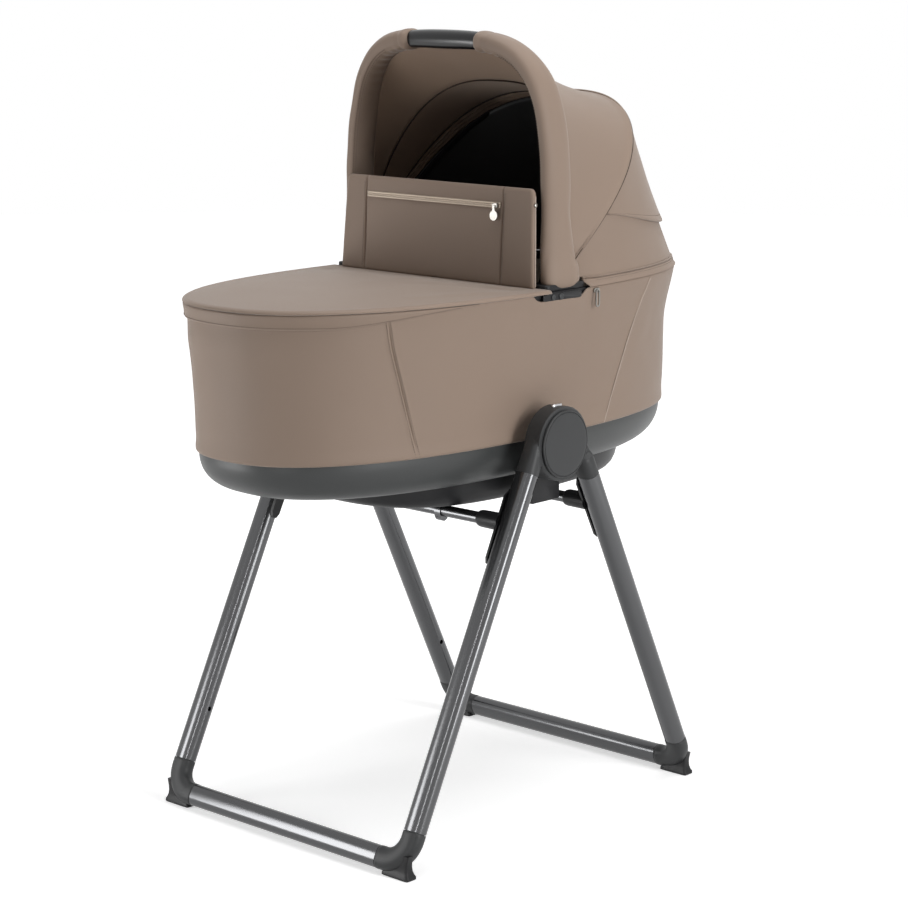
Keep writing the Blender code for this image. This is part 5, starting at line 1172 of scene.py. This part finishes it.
def build_hood_trim():
    """The gusset from the hood's base zip, with its two lips, to the rim, and the latch plates."""
    turn = even(lambda t: plan(t, 0.0, 0.0), GUSSET_START, math.pi - GUSSET_START, 170)
    tuck = 0.012 * base_tuck(turn, TUB_HALF_LENGTH)
    lips = ((0.0030, 0.0007), (-0.0010, 0.0011), (-0.0026, 0.0001), (-0.0020, -0.0011),
            (0.0004, -0.0017), (-0.0018, -0.0024), (-0.0034, -0.0037), (-0.0038, -0.0065))
    skirt = ((0.0014, 0.0045), (-0.0002, 0.0026), (-0.0011, 0.0015), (-0.0012, 0.0006),
             (0.0006, 0.0002))
    rows = [(BASE_INSET + inset, BASE_Z + up) for inset, up in lips]
    rows += [(inset, RIM_Z + up) for inset, up in skirt]
    grid = np.stack([plan(turn, inset + tuck * ease((z - RIM_Z - 0.001) / 0.008), z)
                     for inset, z in rows], axis=1)
    gusset = sheet_grid("hood_base_gusset", grid, "taupe fabric", (0.0, 0.1, 0.81), 0.0006)
    line = plan(turn, BASE_INSET + tuck - 0.0034, BASE_Z - 0.0049)
    seam = stitches("gusset_stitches", [(line[4:-4], plan_normal(line)[4:-4])])
    for piece in (gusset, seam):
        place_piece(piece, "bassinet")
    along, up = oval(circle(40), 0.044, 0.0058, 0.3)
    levels = ((0.2160, 1.0, 1.0), (0.2246, 1.0, 1.0), (0.2252, 0.985, 0.9))
    for label, side in SIDES.items():
        rings = [np.stack((np.full(40, side * x), LATCH_Y + along * long, LATCH_Z + up * high), axis=-1)
                 for x, long, high in levels]
        plate = loft(f"hood_latch_plate_{label}", rings, "black plastic", sharp=40.0)
        for name, y, radius in (("front", -0.004, 0.0042), ("rear", 0.014, 0.0048)):
            profile = [(x, radius * share) for x, share in (
                (0.2240, 1.0), (0.2262, 1.0), (0.2268, 0.8), (0.2264, 0.5), (0.2264, 0.1))]
            stud = turned(f"hood_latch_stud_{name}_{label}", profile, (0.0, y, LATCH_Z),
                          (side, 0.0, 0.0), "moulded charcoal", 28)
            place_piece(stud, "bassinet")
        place_piece(plate, "bassinet")


def sleeve_rings(sign):
    """The sleeve's skin from its rounded foot up to the cuff, and the way each point faces."""
    low = turn_at_reach(0.0125, BOW_REACH, BOW_POWER)
    high = math.acos(((GRIP_HALF + GAP) / BOW_HALF) ** (BOW_POWER / 2.0))
    turn = even(bow_point, low, high, 96)
    if sign < 0:
        turn = math.pi - turn
    down = SLEEVE_FOOT * np.array((1.0, 0.992, 0.965, 0.92, 0.85, 0.75, 0.62, 0.46, 0.30, 0.14))
    extra = len(down)
    turn = np.concatenate((np.full(extra, turn[0]), turn))
    here, back, inward = bow_frame(turn)
    here[:extra, 2] -= down
    wide, thick, shift = sleeve_size(turn)
    up = np.concatenate((SLEEVE_FOOT - down, SLEEVE_FOOT + np.linspace(0.0, 1.0, 97) * 0.46))
    cuff_at = up[-1] - up
    foot = rounded(up / 0.014)
    cuff = 1.0 + 0.06 * ease((0.016 - cuff_at) / 0.003) - 0.07 * bump(cuff_at - 0.0190, 0.0022)
    end = rounded(cuff_at / 0.004)
    scale = (0.66 + 0.34 * foot) * cuff * (0.80 + 0.20 * end)
    puff = 0.0055 * ease((0.060 - up) / 0.05)
    angle = circle(48)
    u, v = oval(angle[None, :], (wide / 2.0 * scale)[:, None],
                ((thick / 2.0 + puff * 0.6) * scale)[:, None], 2.0 / 2.6)
    centre = here + back * shift[:, None] - inward * (puff * 0.5)[:, None]
    rings = centre[:, None, :] + back * u[..., None] + inward[:, None, :] * v[..., None]
    facing = unit(rings - centre[:, None, :])
    bend = ease((np.sin(turn if sign > 0 else math.pi - turn) - 0.45) / 0.5)
    pinch = 0.0011 * np.sin(up * 330.0) * bend
    inner = np.clip(np.sin(angle), 0.0, 1.0) ** 2
    ripple = pinch[:, None] * inner[None, :] + 0.0012 * waves(rings, 0.05, 9.0 * sign)
    ripple *= (foot * end)[:, None]
    crest = np.abs(angle - math.pi * 0.80)
    ripple -= 0.0012 * bump(crest, 0.07)[None, :] * foot[:, None]
    return rings + facing * ripple[..., None], facing


def build_sleeves():
    """The two padded sleeves and the moulded grip between them."""
    for label, sign in SIDES.items():
        rings, facing = sleeve_rings(sign)
        sleeve = loft(f"padded_sleeve_{label}", rings, "taupe fabric", sharp=75.0)
        fixed = np.zeros(rings.shape[:2], bool)
        fixed[:3] = fixed[-10:] = True
        fixed[:, 18:21] = True
        swell(sleeve, 2.5, 0.0025, fixed.ravel())
        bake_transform(sleeve)
        name_piece(sleeve, f"bow_sleeve_{label}")
        rows = [(rings[8:-12, k] + facing[8:-12, k] * 0.0006, facing[8:-12, k]) for k in (18, 20)]
        seam = stitches(f"sleeve_stitches_{label}", rows)
        name_piece(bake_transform(seam))
    high = math.acos(((GRIP_HALF + 0.004) / BOW_HALF) ** (BOW_POWER / 2.0))
    turn = even(bow_point, high, math.pi - high, 64)
    here, back, inward = bow_frame(turn)
    share = np.linspace(0.0, 1.0, 65)
    size = GRIP_RADIUS * (1.0 + 0.10 * np.sin(math.pi * share))
    u, v = oval(circle(48)[None, :], (size * 1.08)[:, None], size[:, None], 2.0 / 2.2)
    rings = here[:, None, :] + back * u[..., None] + inward[:, None, :] * v[..., None]
    grip = loft("moulded_grip", rings, "gloss grip", sharp=60.0)
    place_piece(grip, "hood_front", "carry_grip")


def build_lining():
    """The hood's lining in arcs, with pleats before the black mesh that hangs to the rim."""
    spread = hood_spread()
    turn = fan_turns(BOW_HALF, BOW_REACH, BOW_POWER)
    here, back, inward = bow_frame(turn)
    wide, thick, shift = sleeve_size(turn)
    first = here + back * (wide * 0.30 + shift)[:, None] + inward * (thick * 0.42)[:, None]

    def arc(reach, angle):
        turn = fan_turns(BOW_HALF, reach, LINING_POWER)
        return arch(turn, BOW_HALF, reach, LINING_POWER, angle)

    lines = [first, arc(0.295, 71.0), arc(0.332, 51.0), arc(0.353, 45.0)]
    rows = []
    for k, (start, end, steps) in enumerate(zip(lines, lines[1:], (26, 22, 20))):
        shares = np.linspace(0.0, 1.0, steps + 1)
        part = skin_between(start, end, shares, np.zeros_like(spread))
        out = outward_of(part)
        if k == 2:
            pleats = 0.6 + 0.4 * np.sin(spread * 40.0)
            rise = 0.0036 * np.sin(shares * math.pi * 7.0) * pleats[:, None]
        else:
            rise = 0.0030 * waves(part * (0.5, 1.0, 1.0), 0.06, 11.0) * hump(shares)
            rise += 0.0022 * bump(1.0 - shares, 0.035)
        part += out * rise[..., None]
        rows.append(part if k == 0 else part[:, 1:])
        # A dark tube along each lining seam paints the shadow behind the edge of a lining panel.
        painted_seam_shadow = tube(f"lining_seam_painted_shadow_{k + 1}", end - outward_of(end) * 0.0012, 0.0011, "seam shadow", 8)
        name_piece(blend_fan(painted_seam_shadow, *FRONT_FAN))
    points = np.concatenate(rows, axis=1)
    lining = sheet_grid("hood_lining", points, "hood lining", HOOD_AXIS, 0.0012)
    name_piece(blend_fan(lining, *FRONT_FAN))
    shares = np.linspace(0.0, 1.0, 36)
    net = skin_between(lines[3], base_line(0.016), shares, np.full(HOOD_COLUMNS + 1, 0.006))
    out = outward_of(net)
    net += out * (0.0030 * waves(net * (1.0, 0.35, 0.35), 0.045, 13.0) * hump(shares))[..., None]
    mesh = sheet_grid("hood_mesh_panel", net, "black mesh", HOOD_AXIS, 0.0008)
    blend_fan(mesh, *REAR_FAN)
    name_piece(mesh, "vent_mesh")


# Stand.

def build_stand():
    """The finish of the stand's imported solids, its hub covers and corner bends."""
    ends = ("front", "rear")
    names = [f"{end}_{part}" for end in ends for part in ("bar", "cross_tube")]
    names += ["cross_tube_collar", "front_bow", "middle_bow"]
    for side in SIDES:
        names += [f"{end}_{part}_{side}" for end in ends for part in ("leg", "socket_plate")]
        names += [f"{part}_{side}" for part in ("hub_housing", "hub_pin", "rear_arm", "seat_bracket",
                                                "release_tab", "hood_pivot")]
    dress_nodes(*names)
    build_elbows()
    outer = DRUM_OUT + GAP
    rim = ((0.0, 0.0012), (0.0006, 0.0002), (0.0022, 0.0), (0.0034, 0.0004), (0.0041, 0.0011),
           (0.0043, 0.0019), (0.0034, 0.0024), (0.0034, 0.0029), (0.0044, 0.0035))
    profile = [(outer + out, CAP_RADIUS - inset) for out, inset in rim]
    profile += [(outer + 0.0046 + 0.0009 * (1.0 - (radius / 0.0470) ** 2), radius)
                for radius in np.linspace(0.0460, 0.001, 12)]
    for label, sign in SIDES.items():
        cap = turned(f"hub_cover_{label}", profile, HUB, (sign, 0.0, 0.0), "moulded charcoal", 112)
        place_piece(cap, "stand_front", f"hub_cap_{label}")


def tube_section(centre, outward, across, grow=0.0):
    """One ring of the oval tube about its centre, grown by a little."""
    wide, thick = oval(circle(44), TUBE_WIDE / 2.0 + grow, TUBE_THICK / 2.0 + grow, 2.0 / TUBE_POWER)
    return centre + np.outer(wide, across) + np.outer(thick, outward)


# A foot's levels: height, how far it reaches out and in from the leg, and its half depth.
FOOT_LEVELS = (
    (0.0, 0.0134, 0.0376, 0.0098),
    (0.0009, 0.0145, 0.0385, 0.0108),
    (0.0048, 0.0144, 0.0380, 0.0106),
    (0.0080, 0.0122, 0.0352, 0.0088),
    (0.0130, 0.0102, 0.0318, 0.0076),
    (0.0190, 0.0094, 0.0262, 0.0070),
    (0.0250, 0.0098, 0.0190, 0.0067),
    (0.0310, 0.0112, 0.0100, 0.0064),
    (0.0365, 0.0126, 0.0020, 0.0061))


def build_elbows():
    """The four corner bends between bar and leg, each with its dished foot."""
    for frame_name, end in (("front", -1.0), ("rear", 1.0)):
        up = np.array((0.0, -end * math.sin(LEG_LEAN), math.cos(LEG_LEAN)))
        outward = np.array((0.0, end * math.cos(LEG_LEAN), math.sin(LEG_LEAN)))
        foot_y = HUB[1] + end * FOOT_SPREAD
        for label, sign in SIDES.items():
            corner = np.array((sign * LEG_X, foot_y, BAR_Z))
            inward = np.array((-sign, 0.0, 0.0))
            ends = ((-0.0060, -0.0021), (GAP, -0.0021), (GAP, -0.0003), (0.0007, 0.0002),
                    (0.0040, 0.0003))
            rings = [tube_section(corner + inward * (ELBOW_REACH - d), outward, up, grow)
                     for d, grow in ends]
            for turn in np.linspace(0.0, 0.5 * math.pi, 19):
                radial = -up * math.cos(turn) - inward * math.sin(turn)
                middle = corner + (inward + up + radial) * BEND_RADIUS
                rings.append(tube_section(middle, outward, -radial, 0.0003))
            rings += [tube_section(corner + up * (ELBOW_REACH - d), outward, inward, grow)
                      for d, grow in reversed(ends)]
            bend = loft(f"corner_bend_{frame_name}_{label}", rings, "moulded charcoal", sharp=60.0)
            levels = []
            for height, out, inner, half in FOOT_LEVELS:
                x, y = oval(circle(56), (out + inner) / 2.0, half, 0.22)
                levels.append(level(sign * (LEG_X + (out - inner) / 2.0 + x), foot_y + y, height))
            foot = loft(f"foot_{frame_name}_{label}", levels, "black plastic", sharp=42.0)
            place_piece(bend, f"stand_{frame_name}", f"{frame_name}_elbow_{label}")
            place_piece(foot, f"stand_{frame_name}")


# Stage.

CAMERA_PLACE = (2.613694, -2.828966, 1.305929)
FLOOR_RADIUS = 9.0
WHITE = (1.0, 1.0, 1.0, 1.0)
CAMERA_AXES = (
    (0.7372, 0.675668, 0.002872),
    (-0.134353, 0.14242, 0.980645),
    (0.662182, -0.723318, 0.195771))


def aim(name, place, target, size, energy, diffuse=True):
    """A flat lamp that looks at a place."""
    data = bpy.data.lights.new(name, "AREA")
    data.shape = "RECTANGLE"
    data.size, data.size_y = size
    data.energy = energy
    lamp = bpy.data.objects.new(name, data)
    lamp.location = place
    lamp.rotation_mode = "QUATERNION"
    lamp.rotation_quaternion = (Vector(place) - Vector(target)).to_track_quat("Z", "Y")
    lamp.visible_diffuse = diffuse
    bpy.context.scene.collection.objects.link(lamp)


def build_stage():
    """The camera at the photograph's angle, the white floor and the soft lights."""
    stage = bpy.context.scene.bassinet_stage
    data = bpy.data.cameras.new("Camera")
    data.lens = stage.lens
    data.sensor_width = 36.0
    data.clip_end = 50.0
    camera = bpy.data.objects.new("Camera", data)
    right, up, back = (Vector(axis).normalized() for axis in CAMERA_AXES)
    turn = Matrix((right, up, back)).transposed().to_4x4()
    camera.matrix_world = Matrix.Translation(CAMERA_PLACE) @ turn
    bpy.context.scene.collection.objects.link(camera)
    bpy.context.scene.camera = camera
    bpy.context.scene.view_settings.view_transform = "Standard"

    x, y = oval(circle(96), FLOOR_RADIUS, FLOOR_RADIUS, 1.0)
    floor = new_piece("studio_floor", level(x, y, -0.0004), [tuple(range(96))], "white floor",
                      centre=(0.0, 0.0, -1.0))
    shade_floor(stage.floor_glow)
    world = bpy.data.worlds.new("Studio")
    bpy.context.scene.world = world
    world.use_nodes = True
    tree = world.node_tree
    sky, out = tree.nodes["Background"], tree.nodes["World Output"]
    sky.inputs["Color"].default_value = WHITE
    sky.inputs["Strength"].default_value = stage.ambient
    white = add_node(tree, "ShaderNodeBackground", {"Color": WHITE, "Strength": 1.0})
    pick = add_node(tree, "ShaderNodeMixShader")
    link(tree, seen_by_camera(tree), pick.inputs["Fac"])
    link(tree, sky.outputs["Background"], pick.inputs[1])
    link(tree, white.outputs["Background"], pick.inputs[2])
    link(tree, pick.outputs["Shader"], out.inputs["Surface"])
    aim("Key from the right", (3.3, 0.1, 1.5), (0.0, 0.0, 0.75), (1.0, 2.6), stage.key)
    aim("Top", (0.2, 0.1, 3.3), (0.0, 0.0, 0.8), (2.4, 2.4), stage.top)
    aim("Fill from the left", (-1.1, -1.75, 0.45), (0.0, -0.35, 0.65), (0.7, 1.0), stage.fill)
    aim("Strip for the tubes", (1.3, -3.1, 0.9), (0.0, 0.0, 0.5), (0.14, 2.6), stage.strip, False)


def seen_by_camera(tree):
    """1 for a ray from the camera, or one that left glossy or clear surfaces."""
    path = add_node(tree, "ShaderNodeLightPath")
    total = path.outputs["Is Camera Ray"]
    for name in ("Is Glossy Ray", "Is Transmission Ray"):
        step = add_node(tree, "ShaderNodeMath", operation="MAXIMUM")
        link(tree, total, step.inputs[0])
        link(tree, path.outputs[name], step.inputs[1])
        total = step.outputs["Value"]
    return total


def shade_floor(glow):
    """Lets the floor read as white to the camera and still hold the object's shadow."""
    tree = bpy.data.materials["white floor"].node_tree
    shader, out = tree.nodes["Principled BSDF"], tree.nodes["Material Output"]
    far = add_node(tree, "ShaderNodeVectorMath", operation="LENGTH")
    fade = add_node(tree, "ShaderNodeMapRange", interpolation_type="SMOOTHSTEP",
                    values={"From Min": 0.9, "From Max": 2.2, "To Min": glow, "To Max": 1.0})
    light = add_node(tree, "ShaderNodeEmission")
    none = add_node(tree, "ShaderNodeEmission", {"Strength": 0.0})
    seen = add_node(tree, "ShaderNodeMixShader")
    add = add_node(tree, "ShaderNodeAddShader")
    link(tree, add_node(tree, "ShaderNodeTexCoord").outputs["Object"], far.inputs[0])
    link(tree, far.outputs["Value"], fade.inputs["Value"])
    link(tree, fade.outputs["Result"], light.inputs["Strength"])
    link(tree, seen_by_camera(tree), seen.inputs["Fac"])
    link(tree, none.outputs["Emission"], seen.inputs[1])
    link(tree, light.outputs["Emission"], seen.inputs[2])
    link(tree, shader.outputs["BSDF"], add.inputs[0])
    link(tree, seen.outputs["Shader"], add.inputs[1])
    link(tree, add.outputs["Shader"], out.inputs["Surface"])


# Settings, operators and panel.

def power_setting(name, text, default):
    return FloatProperty(name=name, description=text, default=default, min=0.0, max=2000.0,
                         unit="POWER")


def colour_setting(name, text, default):
    return FloatVectorProperty(name=name, description=text, subtype="COLOR", size=3, min=0.0, max=1.0,
                               default=default)


class BassinetFabricSettings(PropertyGroup):
    """Colours and softness of the fabric."""

    taupe: colour_setting("Outer fabric", "Colour of the cover, apron and hood", (0.232, 0.170, 0.130))
    # Painted light: the lining is the outer fabric painted lighter, to brighten it in the hood's shade.
    lining: colour_setting("Hood lining", "Colour of the lining inside the hood", (0.270, 0.195, 0.145))
    piping: colour_setting("Piping", "Colour of the painted highlight piping in the seams", (0.340, 0.270, 0.222))
    # Painted highlight: the piping is lighter than the fabric to show the bright line along its ridge.
    cotton: colour_setting("Cotton", "Colour of the tub's lining and mattress", (0.700, 0.660, 0.600))
    tape: colour_setting("Zip tape", "Colour of the pocket's zip", (0.400, 0.325, 0.255))
    ripple: FloatProperty(name="Ripple", description="Height of the soft ripples in the side cover",
                          default=0.0018, min=0.0, max=0.004, subtype="DISTANCE", unit="LENGTH")


class BassinetStandSettings(PropertyGroup):
    """Colours and finish of the stand and the hull."""

    tube: colour_setting("Tubes", "Colour of the satin tubes", (0.095, 0.096, 0.099))
    plastic: colour_setting("Hubs", "Colour of the hubs", (0.030, 0.031, 0.032))
    hull: colour_setting("Hull", "Colour of the hull below the fabric", (0.034, 0.036, 0.036))
    tube_roughness: FloatProperty(name="Tube roughness", description="How dull the satin tubes are",
                                  default=0.19, min=0.05, max=1.0, subtype="FACTOR")


class BassinetStageSettings(PropertyGroup):
    """Camera and lights of the studio."""

    lens: FloatProperty(name="Lens", description="Focal length of the camera in millimetres",
                        default=100.104, min=20.0, max=300.0)
    key: power_setting("Right light", "Power of the large light on the right", 86.0)
    fill: power_setting("Left light", "Power of the light on the left", 20.0)
    top: power_setting("Top light", "Power of the light above", 60.0)
    strip: power_setting("Strip light", "Power of the strip that draws streaks on the tubes", 22.0)
    ambient: FloatProperty(name="Ambient", description="Strength of the light from all round",
                           default=0.10, min=0.0, max=2.0)
    floor_glow: FloatProperty(name="Floor glow",
                              description="How much whiter the camera sees the floor",
                              default=0.55, min=0.0, max=1.0)


class BASSINET_OT_stand(Operator):
    """Dress the folding stand and its hubs"""

    bl_idname = "bassinet.stand"
    bl_label = "Stand and Hubs"

    def execute(self, context):
        build_stand()
        return {"FINISHED"}


class BASSINET_OT_shell(Operator):
    """Build the hull, the pod, the wall, the lining and the mattress"""

    bl_idname = "bassinet.shell"
    bl_label = "Hull, Lining and Mattress"

    def execute(self, context):
        build_hull()
        build_pod()
        build_wall()
        build_tub_lining()
        build_mattress()
        return {"FINISHED"}


class BASSINET_OT_cover(Operator):
    """Build the side cover with its seams"""

    bl_idname = "bassinet.cover"
    bl_label = "Side Cover"

    def execute(self, context):
        build_cover()
        return {"FINISHED"}


class BASSINET_OT_apron(Operator):
    """Build the apron over the foot end and its rim band"""

    bl_idname = "bassinet.apron"
    bl_label = "Apron"

    def execute(self, context):
        build_apron()
        return {"FINISHED"}


class BASSINET_OT_windshield(Operator):
    """Build the padded windshield with its pocket and zip"""

    bl_idname = "bassinet.windshield"
    bl_label = "Windshield and Zip"

    def execute(self, context):
        build_windshield()
        build_zip()
        return {"FINISHED"}


class BASSINET_OT_hood(Operator):
    """Build the hood: canopy, vent flap, sleeves, grip and lining"""

    bl_idname = "bassinet.hood"
    bl_label = "Hood"

    def execute(self, context):
        build_sleeves()
        build_canopy()
        build_lining()
        return {"FINISHED"}


class BASSINET_OT_stage(Operator):
    """Build the floor, the lights and the camera"""

    bl_idname = "bassinet.stage"
    bl_label = "Studio"

    def execute(self, context):
        build_stage()
        return {"FINISHED"}


OPERATORS = (BASSINET_OT_stand, BASSINET_OT_shell, BASSINET_OT_cover, BASSINET_OT_apron,
             BASSINET_OT_windshield, BASSINET_OT_hood, BASSINET_OT_stage)


class BASSINET_PT_panel(Panel):
    """Lists the pieces of the bassinet and their settings"""

    bl_label = "Bassinet"
    bl_idname = "BASSINET_PT_panel"
    bl_space_type = "VIEW_3D"
    bl_region_type = "UI"
    bl_category = "Bassinet"

    def draw(self, context):
        layout = self.layout
        for operator in OPERATORS:
            layout.operator(operator.bl_idname)
        for settings in (context.scene.bassinet_fabric, context.scene.bassinet_stand,
                         context.scene.bassinet_stage):
            box = layout.box()
            for name in settings.__annotations__:
                box.prop(settings, name)


CLASSES = (BassinetFabricSettings, BassinetStandSettings, BassinetStageSettings, *OPERATORS,
           BASSINET_PT_panel)


def register():
    for item in CLASSES:
        bpy.utils.register_class(item)
    bpy.types.Scene.bassinet_fabric = PointerProperty(type=BassinetFabricSettings)
    bpy.types.Scene.bassinet_stand = PointerProperty(type=BassinetStandSettings)
    bpy.types.Scene.bassinet_stage = PointerProperty(type=BassinetStageSettings)


def unregister():
    for name in ("bassinet_fabric", "bassinet_stand", "bassinet_stage"):
        delattr(bpy.types.Scene, name)
    for item in reversed(CLASSES):
        bpy.utils.unregister_class(item)


def main():
    register()
    bpy.ops.bassinet.stand()
    bpy.ops.bassinet.shell()
    bpy.ops.bassinet.cover()
    bpy.ops.bassinet.apron()
    bpy.ops.bassinet.windshield()
    bpy.ops.bassinet.hood()
    bpy.ops.bassinet.stage()


if __name__ == "__main__":
    main()
